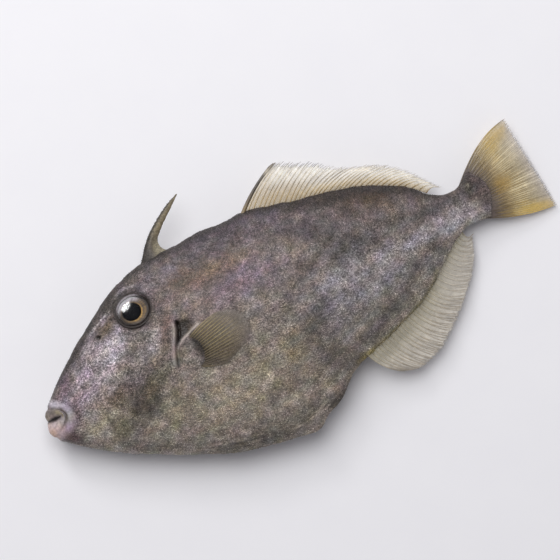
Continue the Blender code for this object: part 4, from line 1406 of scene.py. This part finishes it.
def all_fins() -> tuple[Fin, ...]:
    """The second dorsal, anal, tail and pectoral fins."""
    dorsal = EdgeLines(
        outline=FORM.back, root=(128.4, 210.8), drop=4.0, side=1,
        reach=Course(((128, 21.6), (150, 17.5), (185, 16.5), (200, 11.5), (213, 5.3))),
        edge=Course((
            (148, 61.0), (151, 60.9), (160, 56.5), (168, 52.7), (175, 47.2), (183, 43.2), (193, 39.5),
            (200, 35.5), (208, 28.0), (213, 21.5), (218.5, 14.6),
        )),
        curl=1.1, unrest=0.35, scallop=0.06, scallops=17,
    )
    anal = EdgeLines(
        outline=FORM.belly, root=(151.5, 217.5), drop=6.5, side=-1,
        reach=Course(((151, 13.0), (165, 13.0), (185, 13.6), (200, 12.0), (210, 9.0), (218, 4.4))),
        edge=Course((
            (164, -56.6), (170, -58.4), (178, -57.2), (185, -54.5), (193, -48.8), (200, -43.0),
            (208, -35.0), (215, -27.0), (219, -20.0), (222, -11.6),
        )),
        bow=1.7, unrest=0.4,
    )
    dorsal_tone = FinTone(
        web=((-0.1, "9d8a66"), (0.1, "ccb993"), (0.4, "ece3d2"), (1, "faf6ed")),
        ray=(
            (-0.1, "6d5a3c"), (0.12, "a28b60"), (0.4, "cfc0a0"), (0.75, "e8dfcd"), (0.93, "d8cfc0"),
            (1, "b9afa2"),
        ),
        markings=(
            Marking(137, 51, 26, 8, "bda77e", 0.6, 40),
            Marking(146, 47, 30, 8, "b59b6c", 0.5, -8),
        ),
        ray_markings=(
            Marking(138.5, 55.0, 30, 3.0, "3a312c", 0.98, 35),
            Marking(150, 50, 26, 4, "86755a", 0.5, 0),
            Marking(160, 46, 34, 4.5, "6a5843", 0.6, -14),
            Marking(176, 41, 20, 4, "75634b", 0.5, -24),
            Marking(168, 52.6, 48, 3.6, "3f3834", 0.9, -24),
        ),
    )
    anal_tone = FinTone(
        web=((-0.1, "a69f88"), (0.1, "d0c9b5"), (0.5, "e0d8c9"), (1, "f0eadf")),
        ray=((-0.1, "847b64"), (0.12, "b4aa93"), (0.5, "b6ab99"), (0.85, "a99e8f"), (1, "b2a89a")),
        markings=(
            Marking(166, -42, 26, 5, "aaa390", 0.6, 22),
            Marking(205, -25, 22, 12, "ddd6ca", 0.5, 45),
        ),
    )
    tail_tone = FinTone(
        web=(
            (-0.1, "5f5450"), (0.06, "6a5d54"), (0.2, "84745f"), (0.4, "bba477"), (0.6, "e8d8ac"),
            (0.8, "eee0bf"), (1, "ded5cc"),
        ),
        ray=(
            (-0.1, "5f5450"), (0.06, "5d514a"), (0.2, "6a5b47"), (0.4, "86724e"), (0.6, "a08a62"),
            (0.8, "8d7d63"), (1, "7d7272"),
        ),
        markings=(
            Marking(250, 25, 17, 8, "d4b565", 0.8, 30),
            Marking(240, 20, 16, 5, "84765a", 0.5, 35),
            Marking(255, -13.5, 20, 6, "d2b35c", 0.85, -12),
            Marking(246, 4, 8, 7, "b8964e", 0.65, 0),
        ),
    )
    fan_tone = FinTone(
        web=((-0.1, "5b4f3f"), (0.2, "7b6c50"), (0.6, "857862"), (1, "8b817c")),
        ray=((-0.1, "52462f"), (0.15, "8a7a52"), (0.5, "938361"), (0.8, "807362"), (1, "786d66")),
        markings=(
            Marking(91, -9.5, 16, 7, "57492f", 0.7, -20),
            Marking(88, 7.5, 20, 3, "998a66", 0.5, 12),
            Marking(84, -12, 12, 5, "453a33", 0.8, -30),
        ),
    )
    pectorals = (
        Fin(name, FanLines(side), 17, fan_tone, splits=(0.26, 0.6), thickness=(0.24, 0.03), between=12)
        for name, side in (("pectoral_fin_left", 1), ("pectoral_fin_right", -1))
    )
    return (
        Fin("dorsal_fin", dorsal, 35, dorsal_tone, leading=3.6, thickness=(0.28, 0.15), splits=(0.6,),
            notch=0.06, overhang=0.03),
        Fin("anal_fin", anal, 34, anal_tone, notch=0.05, thickness=(0.32, 0.15), splits=(0.4, 0.75),
            spread=0.5),
        Fin("caudal_fin", TailLines(), 12, tail_tone, start=-0.16, splits=(-0.1, 0.2, 0.5), spread=0.35,
            thickness=(0.36, 0.1), notch=0.035, teeth=4, ragged=0.008, between=24, overhang=0.005),
        *pectorals,
    )


@dataclass(frozen=True)
class Spine:
    """The first dorsal spine: a rough dark front edge with barbs and a smooth web behind its root."""

    front: Course = Course((
        (0, 71.9, 45.0), (0.3, 80.3, 55.0), (0.55, 88.1, 61.0), (0.8, 96.6, 66.0), (1, 102.2, 68.3),
    ))
    rear: Course = Course((
        (0, 87.0, 45.0), (0.1, 84.6, 48.2), (0.2, 84.2, 51.2), (0.4, 87.9, 56.0), (0.6, 92.6, 60.0),
        (0.8, 97.8, 64.0), (1, 102.6, 68.0),
    ))
    half: Course = Course(((0, 1.9), (0.3, 1.5), (1, 0.35)))
    droop: float = 1.5
    rows: int = 90
    columns: int = 40
    base: str = "5f5750"
    middle: str = "82755c"
    dark: str = "332e2b"
    web: str = "948a72"

    def build(self, material: Material) -> Object:
        """Makes the spine, with the values that its barbs grow from."""
        along = np.linspace(0, 1, self.rows)[:, None]
        turn = np.linspace(0, 2 * math.pi, self.columns, endpoint=False)[None, :]
        share = np.broadcast_to(along, (self.rows, self.columns))
        front, rear = self.front.at(share), self.rear.at(share)
        middle, reach = (front + rear) / 2, (front - rear) / 2
        ahead = np.broadcast_to(np.cos(turn), share.shape)
        flat = middle + reach * ahead[..., None]
        hollow = 1 - 0.55 * ramp(ahead, 0.2, -0.5) * ramp(ahead, -1.0, -0.8) * ramp(share, 0.45, 0.1)
        height = FORM.middle_height.at(middle[..., 0]) - self.droop * share
        height = height + self.half.at(share) * np.sin(turn) * hollow
        rows = np.concatenate((flat, height[..., None]), -1)
        rows[..., 1] += 0.1 * swell(rows.reshape(-1, 3), 1.6, 51).reshape(share.shape)
        places, ahead, share = rows.reshape(-1, 3), ahead.reshape(-1), share.reshape(-1)
        run = np.gradient(self.front.at(along[:, 0]), axis=0)
        run = run / np.linalg.norm(run, axis=1, keepdims=True)
        pile = -np.repeat(np.column_stack((run, np.zeros(self.rows))), self.columns, axis=0)
        values = {
            "tone": self.colours(places, ahead, share),
            "bare": ramp(ahead, 0.1, -0.4),
            "coat": ramp(ahead, -0.1, 0.75) * ramp(share, 0.99, 0.9),
            "pile": pile,
            "part": np.zeros(len(places)),
            "crisp": np.full(len(places), 0.8),
        }
        return lofted("dorsal_spine_blade", rows, material, values)

    def colours(self, points: Array, ahead: Array, share: Array) -> Array:
        """The spine's colour, ahead being 1 on its front edge and -1 on its rear one."""
        found = dyed(plain(self.base, len(share)), self.middle, ramp(share, 0.12, 0.45))
        rough = ramp(ahead + 0.12 * swell(points, 1.5, 52), 0.15, 0.8)
        found = dyed(found, self.dark, 0.85 * rough)
        found = dyed(found, self.web, ramp(ahead, 0.1, -0.5) * ramp(share, 0.4, 0.1))
        return opaque(found * (1 + 0.12 * swell(points, 2.2, 53))[:, None])


@dataclass(frozen=True)
class Eye:
    """One eye: a dark pupil in a thin gold ring, an olive iris, and a clear window over them."""

    side: int
    out: float = -0.15
    shift: tuple[float, float] = (-1.0, -0.2)
    ring: float = 5.35
    iris: float = 7.3
    radius: float = 8.5
    back: tuple[tuple[float, float], ...] = (
        (0.2, -4.2), (4.0, -3.9), (7.4, -3.4), (8.9, -2.4), (9.25, -1.2), (9.2, -0.7), (9.0, -0.42),
        (8.7, -0.36), (8.4, -0.44), (8.1, -0.56), (7.8, -0.68), (7.5, -0.77), (7.3, -0.8),
    )
    front: tuple[tuple[float, float], ...] = (
        (5.35, -0.46), (5.1, -0.42), (4.85, -0.45), (4.65, -0.6), (4.5, -0.85), (4.2, -1.1), (0.2, -1.2),
    )
    lens_radii: tuple[float, ...] = (4.7, 4.5, 4.1, 3.4, 2.6, 1.7, 0.8, 0.15)
    lens_half: float = 4.75
    lens_height: float = 1.15
    window_radii: tuple[float, ...] = (0.12, 0.8, 1.6, 2.5, 3.5, 4.5, 5.4, 6.3, 7.0, 7.6, 8.0, 8.35)
    window_thickness: float = 0.14
    window: Course = Course(((0, 2.5), (2.5, 2.28), (4.5, 1.75), (6.3, 0.9), (7.6, -0.05), (8.35, -0.9)))
    columns: int = 96
    olive: str = "4a3c30"
    brown: str = "3c3128"
    gold: str = "a37e3c"
    rim: str = "28201e"
    lid: str = "2d2624"
    # The pale crescent across the top of the iris: painted reflection of the light.
    pale: str = "a39ca4"
    black: str = "07070a"

    def place(
        self, profile: list[tuple[float, float]], shift: tuple[float, float], inner: float, outer: float
    ) -> Array:
        """Rows of points round the eye's axis.

        Args:
            profile: the radius and the height of each row.
            shift: how far the middle rows stand off the axis.
            inner: the radius up to which rows have the whole shift.
            outer: the radius from which rows have none of it.

        Returns:
            The rows, in fish millimetres.
        """
        middle, turned = FORM.seat(EYE_SEAT.at, self.side, EYE_SEAT.lean, self.out)
        turn = np.linspace(0, 2 * math.pi, self.columns, endpoint=False)
        rows = []
        for radius, height in profile:
            off = 1 - ramp(np.array(radius), inner, outer)
            local = np.stack((
                radius * np.cos(turn) + off * shift[0],
                radius * np.sin(turn) + off * shift[1],
                np.full(turn.shape, height),
            ), -1)
            rows.append(middle + local @ turned.T)
        return np.array(rows)

    def name(self, part: str) -> str:
        """The name of one of the eye's pieces."""
        return f"eye_{part}_{'left' if self.side > 0 else 'right'}"

    def ball(self, material: Material) -> Object:
        """The iris with its gold ring and dark rim, on the closed ball of the eye."""
        slope = [
            (r, -0.8 + 0.35 * (self.iris - r) / (self.iris - self.ring)) for r in np.linspace(7.1, 5.45, 10)
        ]
        profile = [*self.back, *slope, *self.front]
        rows = self.place(profile, self.shift, self.ring, self.iris)
        radius = np.repeat([r for r, _ in profile], self.columns)
        turn = np.tile(np.linspace(0, 2 * math.pi, self.columns, endpoint=False), len(profile))
        return lofted(self.name("iris"), rows, material, {"tone": self.colours(radius, turn)})

    def colours(self, radius: Array, turn: Array) -> Array:
        """The iris's colours by distance from its middle and by angle from the tail side."""
        streaks = swell(np.column_stack((radius * 0.25, 9 * np.cos(turn), 9 * np.sin(turn))), 1.1, 61)
        soft = swell(np.column_stack((radius, 5 * np.cos(turn), 5 * np.sin(turn))), 2.6, 62)
        low = 0.5 + 0.5 * np.cos(turn - math.radians(-40))
        ahead = ramp(np.cos(turn - math.radians(190)), -0.1, 0.9)
        # top: the pale crescent across the upper iris, a painted reflection of the light.
        top = ramp(np.cos(turn - math.radians(105)), 0.2, 0.85) * ramp(radius, 4.9, 6.2)
        band = mound(radius - 0.3 * soft, 5.1, 0.42) + 0.35 * mound(radius - 0.3 * soft, 6.3, 0.25)
        band *= np.clip(0.12 + 0.95 * low**2.2, 0, 1)
        shine = plain(self.gold, len(radius)) * (0.35 + 0.75 * low)[:, None]
        found = dyed(plain(self.olive, len(radius)), self.brown, ahead)
        found += (shine - found) * band[:, None]
        found = dyed(found, self.pale, 0.8 * top) * (1 + 0.3 * streaks)[:, None]
        found = dyed(found, self.rim, ramp(radius + 0.25 * soft, 6.4, 7.3) * (1 - 0.6 * top))
        found = dyed(found, self.lid, ramp(radius, 8.2, 8.7))
        return opaque(dyed(found, self.black, ramp(radius, 4.85, 4.6)), 0.003)

    def pupil(self, material: Material) -> Object:
        """The dark lens, a low dome that closes the pupil."""
        dome = [
            (r, -0.95 + self.lens_height * math.sqrt(max(1 - (r / self.lens_half) ** 2, 0)))
            for r in self.lens_radii
        ]
        profile = [(0.15, -1.15), (3.0, -1.15), (4.7, -1.1), *dome]
        return lofted(self.name("pupil"), self.place(profile, self.shift, self.ring, self.iris), material)

    def clear(self, material: Material) -> Object:
        """The clear window: a thin domed shell over the iris."""
        radii = np.array(self.window_radii)
        heights = self.window.at(radii)
        outer = list(zip(radii, heights))
        inner = list(zip(radii * 0.985, heights - self.window_thickness))
        rows = self.place([*inner, *outer[::-1]], (0.0, 0.0), 0.0, self.radius)
        return lofted(self.name("window"), rows, material)


def toned(tree: Tree, factor: Socket) -> Socket:
    """The colour that the mesh carries, made lighter or darker by a factor."""
    tone = add(tree, "ShaderNodeAttribute", attribute_name="tone").outputs["Color"]
    return add(tree, "ShaderNodeVectorMath", {0: tone, "Scale": factor}, operation="SCALE").outputs[0]


@dataclass(frozen=True)
class Grain:
    """The light and dark of scaly skin: cells of one scale, in rows along the head and down the rear."""

    cell: float = 0.62
    row: float = 0.9
    courses: tuple[tuple[float, float], ...] = ((36, 3.6), (80, 2.0))
    behind_head: tuple[float, float] = (-0.055, -0.01)

    def factor(self, tree: Tree) -> Socket:
        """The output with the light and dark at each place, about 1."""
        place = add(tree, "ShaderNodeTexCoord").outputs["Object"]
        along = add(tree, "ShaderNodeSeparateXYZ", {0: place})
        behind = add(tree, "ShaderNodeMapRange", {
            "Value": along.outputs["X"], "From Min": self.behind_head[0], "From Max": self.behind_head[1],
        })
        rows = []
        for turn, stretch in self.courses:
            laid = add(tree, "ShaderNodeMapping", {
                "Vector": place, "Rotation": (0, 0, math.radians(turn)), "Scale": (stretch, 1, 1),
            }, vector_type="TEXTURE")
            rows.append(add(tree, "ShaderNodeTexNoise", {
                "Vector": laid.outputs[0], "Scale": 1 / (self.row * MM), "Detail": 2.0, "Roughness": 0.6,
            }).outputs["Fac"])
        row = add(tree, "ShaderNodeMix", {0: behind.outputs[0], 2: rows[0], 3: rows[1]})
        row = add(tree, "ShaderNodeMapRange", {
            "Value": row.outputs[0], "From Min": 0.36, "From Max": 0.64, "To Min": 0.74, "To Max": 1.26,
        })
        cells = add(tree, "ShaderNodeTexVoronoi", {"Vector": place, "Scale": 1 / (self.cell * MM)})
        chance = add(tree, "ShaderNodeSeparateColor", {0: cells.outputs["Color"]})
        cell = add(tree, "ShaderNodeMapRange", {"Value": chance.outputs[0], "To Min": 0.4, "To Max": 1.6})
        both = add(tree, "ShaderNodeMath", {0: row.outputs[0], 1: cell.outputs[0]}, operation="MULTIPLY")
        crisp = add(tree, "ShaderNodeAttribute", attribute_name="crisp")
        return add(tree, "ShaderNodeMix", {0: crisp.outputs["Fac"], 2: 1.0, 3: both.outputs[0]}).outputs[0]


@dataclass(frozen=True)
class SkinFinish:
    """Fish skin: a thin damp film over dark flesh, rough with scales of about half a millimetre."""

    scale: float = 0.8
    fine: float = 1.1
    relief: float = 0.5
    roughness: float = 0.46
    bare_roughness: float = 0.24
    film: float = 0.18

    def material(self) -> Material:
        """Velvety grey skin: the coat's grain shows as fine cells, and bare skin shines softly."""
        made, tree = new_material("filefish skin")
        place = add(tree, "ShaderNodeTexCoord").outputs["Object"]
        bare = add(tree, "ShaderNodeAttribute", attribute_name="bare").outputs["Fac"]
        cells = add(tree, "ShaderNodeTexVoronoi", {"Vector": place, "Scale": 1 / (self.scale * MM)})
        fine = add(tree, "ShaderNodeTexNoise", {
            "Vector": place, "Scale": 1 / (self.fine * MM), "Detail": 3.0,
        }).outputs["Fac"]
        dark = add(tree, "ShaderNodeMapRange", {
            "Value": cells.outputs["Distance"], "From Min": 0.1, "From Max": 0.7,
            "To Min": 1.15, "To Max": 0.7,
        })
        grain = add(tree, "ShaderNodeMath", {0: dark.outputs[0], 1: Grain().factor(tree)},
                    operation="MULTIPLY")
        soft = add(tree, "ShaderNodeMapRange", {
            "Value": fine, "From Min": 0.35, "From Max": 0.65, "To Min": 0.78, "To Max": 1.22,
        })
        light = add(tree, "ShaderNodeMix", {0: bare, 2: grain.outputs[0], 3: soft.outputs[0]})
        height = add(tree, "ShaderNodeMath", {0: fine, 1: cells.outputs["Distance"]}, operation="SUBTRACT")
        rough_side = add(tree, "ShaderNodeMath", {0: 1.0, 1: bare}, operation="SUBTRACT")
        rough_side = add(tree, "ShaderNodeMapRange", {
            "Value": rough_side.outputs[0], "To Min": 0.22, "To Max": 1.0,
        })
        bump = add(tree, "ShaderNodeBump", {
            "Height": height.outputs[0], "Distance": self.relief * MM, "Strength": rough_side.outputs[0],
        })
        gloss = add(tree, "ShaderNodeMapRange", {
            "Value": bare, "To Min": self.roughness, "To Max": self.bare_roughness,
        })
        shader = add(tree, "ShaderNodeBsdfPrincipled", {
            "Base Color": toned(tree, light.outputs[0]), "Roughness": gloss.outputs[0],
            "Normal": bump.outputs[0], "Coat Weight": self.film, "Coat Roughness": 0.25, "IOR": 1.4,
        })
        add(tree, "ShaderNodeOutputMaterial", {0: shader.outputs[0]})
        return made


@dataclass(frozen=True)
class SpinuleFinish:
    """Tiny horny spinules, some pale and some dark, that catch the light where they are damp."""

    roughness: float = 0.3
    dark: float = 0.45
    pale: float = 2.2
    power: float = 1.4
    greying: float = 0.3
    relief: float = 0.3

    def material(self) -> Material:
        """Horny scale tips: each takes the skin's colour there, lighter or darker than its neighbour; the
        lightest are painted glints.
        """
        made, tree = new_material("horny spinules")
        tone = add(tree, "ShaderNodeAttribute", attribute_name="tone")
        glint = add(tree, "ShaderNodeAttribute", attribute_name="glint")
        curve = add(tree, "ShaderNodeMath", {0: glint.outputs["Fac"], 1: self.power}, operation="POWER")
        light = add(tree, "ShaderNodeMapRange", {
            "Value": curve.outputs[0], "To Min": self.dark, "To Max": self.pale,
        })
        grain = Grain().factor(tree)
        light = add(tree, "ShaderNodeMath", {0: light.outputs[0], 1: grain}, operation="MULTIPLY")
        greyer = add(tree, "ShaderNodeHueSaturation", {
            "Saturation": 1 - self.greying, "Color": tone.outputs["Color"],
        })
        colour = add(tree, "ShaderNodeVectorMath", {0: greyer.outputs[0], "Scale": light.outputs[0]},
                     operation="SCALE")
        bump = add(tree, "ShaderNodeBump", {
            "Height": grain, "Distance": self.relief * MM, "Strength": 0.9,
        })
        shader = add(tree, "ShaderNodeBsdfPrincipled", {
            "Base Color": colour.outputs[0], "Roughness": self.roughness, "IOR": 1.5,
            "Normal": bump.outputs[0],
        })
        add(tree, "ShaderNodeOutputMaterial", {0: shader.outputs[0]})
        return made


@dataclass(frozen=True)
class FinFinish:
    """Fin web or fin ray: damp translucent skin that takes its colours from the mesh."""

    name: str
    opacity: float
    roughness: float
    grain: float = 0.9
    relief: float = 0.12

    def material(self) -> Material:
        """Thin damp membrane: the light passes it and the floor or body behind it shows faintly."""
        made, tree = new_material(self.name)
        place = add(tree, "ShaderNodeTexCoord").outputs["Object"]
        fine = add(tree, "ShaderNodeTexNoise", {
            "Vector": place, "Scale": 1 / (self.grain * MM), "Detail": 4.0,
        }).outputs["Fac"]
        vary = add(tree, "ShaderNodeMapRange", {
            "Value": fine, "From Min": 0.3, "From Max": 0.7, "To Min": 0.88, "To Max": 1.12,
        })
        bump = add(tree, "ShaderNodeBump", {"Height": fine, "Distance": self.relief * MM, "Strength": 0.6})
        shader = add(tree, "ShaderNodeBsdfPrincipled", {
            "Base Color": toned(tree, vary.outputs[0]), "Roughness": self.roughness,
            "Normal": bump.outputs[0], "Alpha": self.opacity, "Coat Weight": 0.12, "Coat Roughness": 0.3,
        })
        add(tree, "ShaderNodeOutputMaterial", {0: shader.outputs[0]})
        return made


def horn_finish() -> Material:
    """Bony spine: dull and finely pitted, a little shiny along its smooth rear."""
    pit, relief = 0.7, -0.2
    made, tree = new_material("bony spine")
    place = add(tree, "ShaderNodeTexCoord").outputs["Object"]
    pits = add(tree, "ShaderNodeTexVoronoi", {"Vector": place, "Scale": 1 / (pit * MM)}).outputs["Distance"]
    shade = add(tree, "ShaderNodeMapRange", {
        "Value": pits, "From Max": 0.7, "To Min": 1.25, "To Max": 0.65,
    })
    bump = add(tree, "ShaderNodeBump", {"Height": pits, "Distance": relief * MM, "Strength": 0.7})
    shader = add(tree, "ShaderNodeBsdfPrincipled", {
        "Base Color": toned(tree, shade.outputs[0]), "Roughness": 0.48, "Normal": bump.outputs[0],
    })
    add(tree, "ShaderNodeOutputMaterial", {0: shader.outputs[0]})
    return made


def iris_finish() -> Material:
    """Iris: fine streaked tissue with a slight metal sheen, as fish irises have."""
    made, tree = new_material("iris")
    tone = add(tree, "ShaderNodeAttribute", attribute_name="tone")
    shader = add(tree, "ShaderNodeBsdfPrincipled", {
        "Base Color": tone.outputs["Color"], "Roughness": 0.38, "Specular IOR Level": 0.25,
    })
    add(tree, "ShaderNodeOutputMaterial", {0: shader.outputs[0]})
    return made


def pupil_finish() -> Material:
    """Eye lens: nearly black, with a faint blue depth and a soft shine."""
    made, tree = new_material("eye lens")
    shader = add(tree, "ShaderNodeBsdfPrincipled", {
        "Base Color": linear("06070c"), "Roughness": 0.5, "Specular IOR Level": 0.05,
    })
    add(tree, "ShaderNodeOutputMaterial", {0: shader.outputs[0]})
    return made


def window_finish() -> Material:
    """Cornea: a clear wet film that only shows where it reflects the light."""
    made, tree = new_material("cornea")
    clear = add(tree, "ShaderNodeBsdfTransparent")
    shine = add(tree, "ShaderNodeBsdfGlossy", {"Roughness": 0.14})
    edge = add(tree, "ShaderNodeFresnel", {"IOR": 1.2})
    mixed = add(tree, "ShaderNodeMixShader", {0: edge.outputs[0], 1: clear.outputs[0], 2: shine.outputs[0]})
    add(tree, "ShaderNodeOutputMaterial", {0: mixed.outputs[0]})
    return made


class Reach(Enum):
    """What a lamp shines on."""

    ALL = "everything"
    BUT_CORNEAS = "everything but the corneas"
    CORNEAS = "the corneas only"


@dataclass(frozen=True)
class Lamp:
    """A round lamp aimed at the fish: its bearing and height in degrees, distance, size and power."""

    name: str
    bearing: float
    height: float
    distance: float
    size: float
    power: float
    reach: Reach = Reach.ALL

    def build(self, view_turn: float, corneas: list[Object]) -> None:
        """Makes the lamp.

        Args:
            view_turn: how far the picture is turned against the fish, in degrees.
            corneas: the pieces that a lamp may leave out or shine on alone.
        """
        light = bpy.data.lights.new(self.name, "AREA")
        light.size = self.size
        light.energy = self.power
        light.shape = "DISK"
        made = bpy.data.objects.new(self.name, light)
        turn = math.radians(self.bearing - view_turn)
        rise = math.radians(self.height)
        aim = Vector((math.cos(turn) * math.cos(rise), math.sin(turn) * math.cos(rise), math.sin(rise)))
        made.location = aim * self.distance
        made.rotation_mode = "QUATERNION"
        made.rotation_quaternion = aim.to_track_quat("Z", "Y")
        bpy.context.scene.collection.objects.link(made)
        if self.reach is Reach.ALL:
            return
        linked = bpy.data.collections.new(self.name + " receivers")
        for cornea in corneas:
            linked.objects.link(cornea)
        for entry in linked.collection_objects:
            entry.light_linking.link_state = "INCLUDE" if self.reach is Reach.CORNEAS else "EXCLUDE"
        made.light_linking.receiver_collection = linked


@dataclass
class Stage:
    """The pale floor, the soft light and the camera that looks straight down."""

    centre: tuple[float, float] = (-2.15, 6.95)
    view_turn: float = 26.0
    view_width: float = 268.8
    distance: float = 2000.0
    level: float = 16.0
    sensor: float = 36.0
    floor: float = 8.0
    walls: float = 0.55
    ceiling: float = 0.12
    room: str = "fbfaff"
    board: tuple[str, str] = ("efeef2", "f3f2f5")
    near: float = 0.05
    far: float = 50.0
    lamps: tuple[Lamp, ...] = (
        Lamp("softbox", 115.0, 64.0, 1.5, 1.3, 17.4, Reach.BUT_CORNEAS),
        Lamp("window", 120.0, 34.0, 2.0, 0.5, 7.3, Reach.BUT_CORNEAS),
        Lamp("catch light", 139.0, 12.5, 1.2, 0.8, 75.0, Reach.CORNEAS),
    )
    corneas: list[Object] = field(default_factory=list)

    def build(self) -> None:
        """Makes the floor, the lights, the world and the camera."""
        self.make_floor()
        self.make_camera()
        self.make_lights()

    def make_floor(self) -> None:
        """A plain pale floor at the level that the fish lies on."""
        half = self.floor / 2
        mesh = bpy.data.meshes.new("floor")
        corners = [(-half, -half, 0), (half, -half, 0), (half, half, 0), (-half, half, 0)]
        mesh.from_pydata(corners, [], [(0, 1, 2, 3)])
        made, tree = new_material("painted board")
        place = add(tree, "ShaderNodeTexCoord").outputs["Object"]
        faint = add(tree, "ShaderNodeTexNoise", {"Vector": place, "Scale": 40.0, "Detail": 4.0})
        one, other = (linear(colour) for colour in self.board)
        colour = add(tree, "ShaderNodeMix", {0: faint.outputs["Fac"], 6: one, 7: other}, data_type="RGBA")
        shader = add(tree, "ShaderNodeBsdfPrincipled", {"Base Color": colour.outputs[2], "Roughness": 0.7})
        add(tree, "ShaderNodeOutputMaterial", {0: shader.outputs[0]})
        mesh.materials.append(made)
        floor = bpy.data.objects.new("floor", mesh)
        bpy.context.scene.collection.objects.link(floor)

    def make_camera(self) -> None:
        """A long-lensed camera over the fish, turned so that the fish lies as in the photograph."""
        data = bpy.data.cameras.new("camera")
        data.sensor_width = self.sensor
        data.lens = self.sensor * self.distance / self.view_width
        data.clip_start = self.near
        data.clip_end = self.far
        camera = bpy.data.objects.new("camera", data)
        camera.location = (self.centre[0] * MM, self.centre[1] * MM, (self.level + self.distance) * MM)
        camera.rotation_euler = (0, 0, -math.radians(self.view_turn))
        bpy.context.scene.collection.objects.link(camera)
        bpy.context.scene.camera = camera

    def make_lights(self) -> None:
        """A soft window light from the upper left of the picture and a pale room round it."""
        world = bpy.data.worlds.new("room")
        world.use_nodes = True
        tree = world.node_tree
        tree.nodes.clear()
        up = add(tree, "ShaderNodeSeparateXYZ", {0: add(tree, "ShaderNodeTexCoord").outputs["Generated"]})
        shade = add(tree, "ShaderNodeMapRange", {
            "Value": up.outputs["Z"], "From Min": 0.15, "From Max": 0.9,
            "To Min": self.walls, "To Max": self.ceiling,
        })
        sky = add(tree, "ShaderNodeBackground", {"Color": linear(self.room), "Strength": shade.outputs[0]})
        add(tree, "ShaderNodeOutputWorld", {0: sky.outputs[0]})
        bpy.context.scene.world = world
        for lamp in self.lamps:
            lamp.build(self.view_turn, self.corneas)
        bpy.context.scene.view_settings.view_transform = "Standard"


def dress_skin() -> None:
    """Makes the skin and the coat of spinules on it."""
    skin = Skin().build(SkinFinish().material())
    keep(skin, "skin", "head", "trunk_front", "trunk_rear", "tail_stalk", "pelvic_stub", "upper_lip",
         "lower_lip")
    coat, horn = Coat(), SpinuleFinish().material()
    lengths = len(COAT_PARTS) + 1
    for part in range(2 * lengths):
        flank = "left" if part < lengths else "right"
        keep(coat.grown(f"coat_{flank}_{part % lengths + 1}", skin, part, horn), "skin")
    bpy.data.objects.remove(coat.seedling)


def dress_spine() -> None:
    """Makes the dorsal spine and the barbs on its front edge."""
    spine = Spine().build(horn_finish())
    keep(spine, "spine_horn", "dorsal_spine")
    barbs = Coat(spacing=0.62, length=0.85, seed=71)
    horn = SpinuleFinish(roughness=0.45, pale=2.0).material()
    keep(barbs.grown("coat_spine_barbs", spine, 0, horn), "spine_horn")
    bpy.data.objects.remove(barbs.seedling)


def dress_eyes() -> list[Object]:
    """Makes both eyes and returns their corneas."""
    iris, lens, window = iris_finish(), pupil_finish(), window_finish()
    corneas = []
    for side, node in ((1, "eye_left"), (-1, "eye_right")):
        eye = Eye(side)
        keep(eye.ball(iris), "eye", node)
        keep(eye.pupil(lens), "eye")
        corneas.append(keep(eye.clear(window), "eye"))
    return corneas


def dress_fins() -> None:
    """Makes the fins."""
    rods = rod_tree()
    webs = {
        "dorsal_fin": FinFinish("pale fin web", 0.42, 0.5),
        "anal_fin": FinFinish("grey fin web", 0.52, 0.5),
        "caudal_fin": FinFinish("tail fin web", 0.55, 0.5),
        "pectoral_fin_left": FinFinish("pectoral fin web", 0.26, 0.4),
    }
    webs = {name: finish.material() for name, finish in webs.items()}
    webs["pectoral_fin_right"] = webs["pectoral_fin_left"]
    ray = FinFinish("fin ray", 1.0, 0.42).material()
    keep(tail_root().web(FinFinish("fleshy fin root", 1.0, 0.45).material()), "fin_membrane")
    for fin in all_fins():
        fin.build(rods, webs[fin.name], ray)


def main() -> None:
    """Builds the fish piece by piece, then the floor, light and camera round it."""
    logging.basicConfig(level=logging.INFO, format="%(message)s")
    dress_skin()
    dress_spine()
    corneas = dress_eyes()
    dress_fins()
    Stage(corneas=corneas).build()


if __name__ == "__main__":
    main()
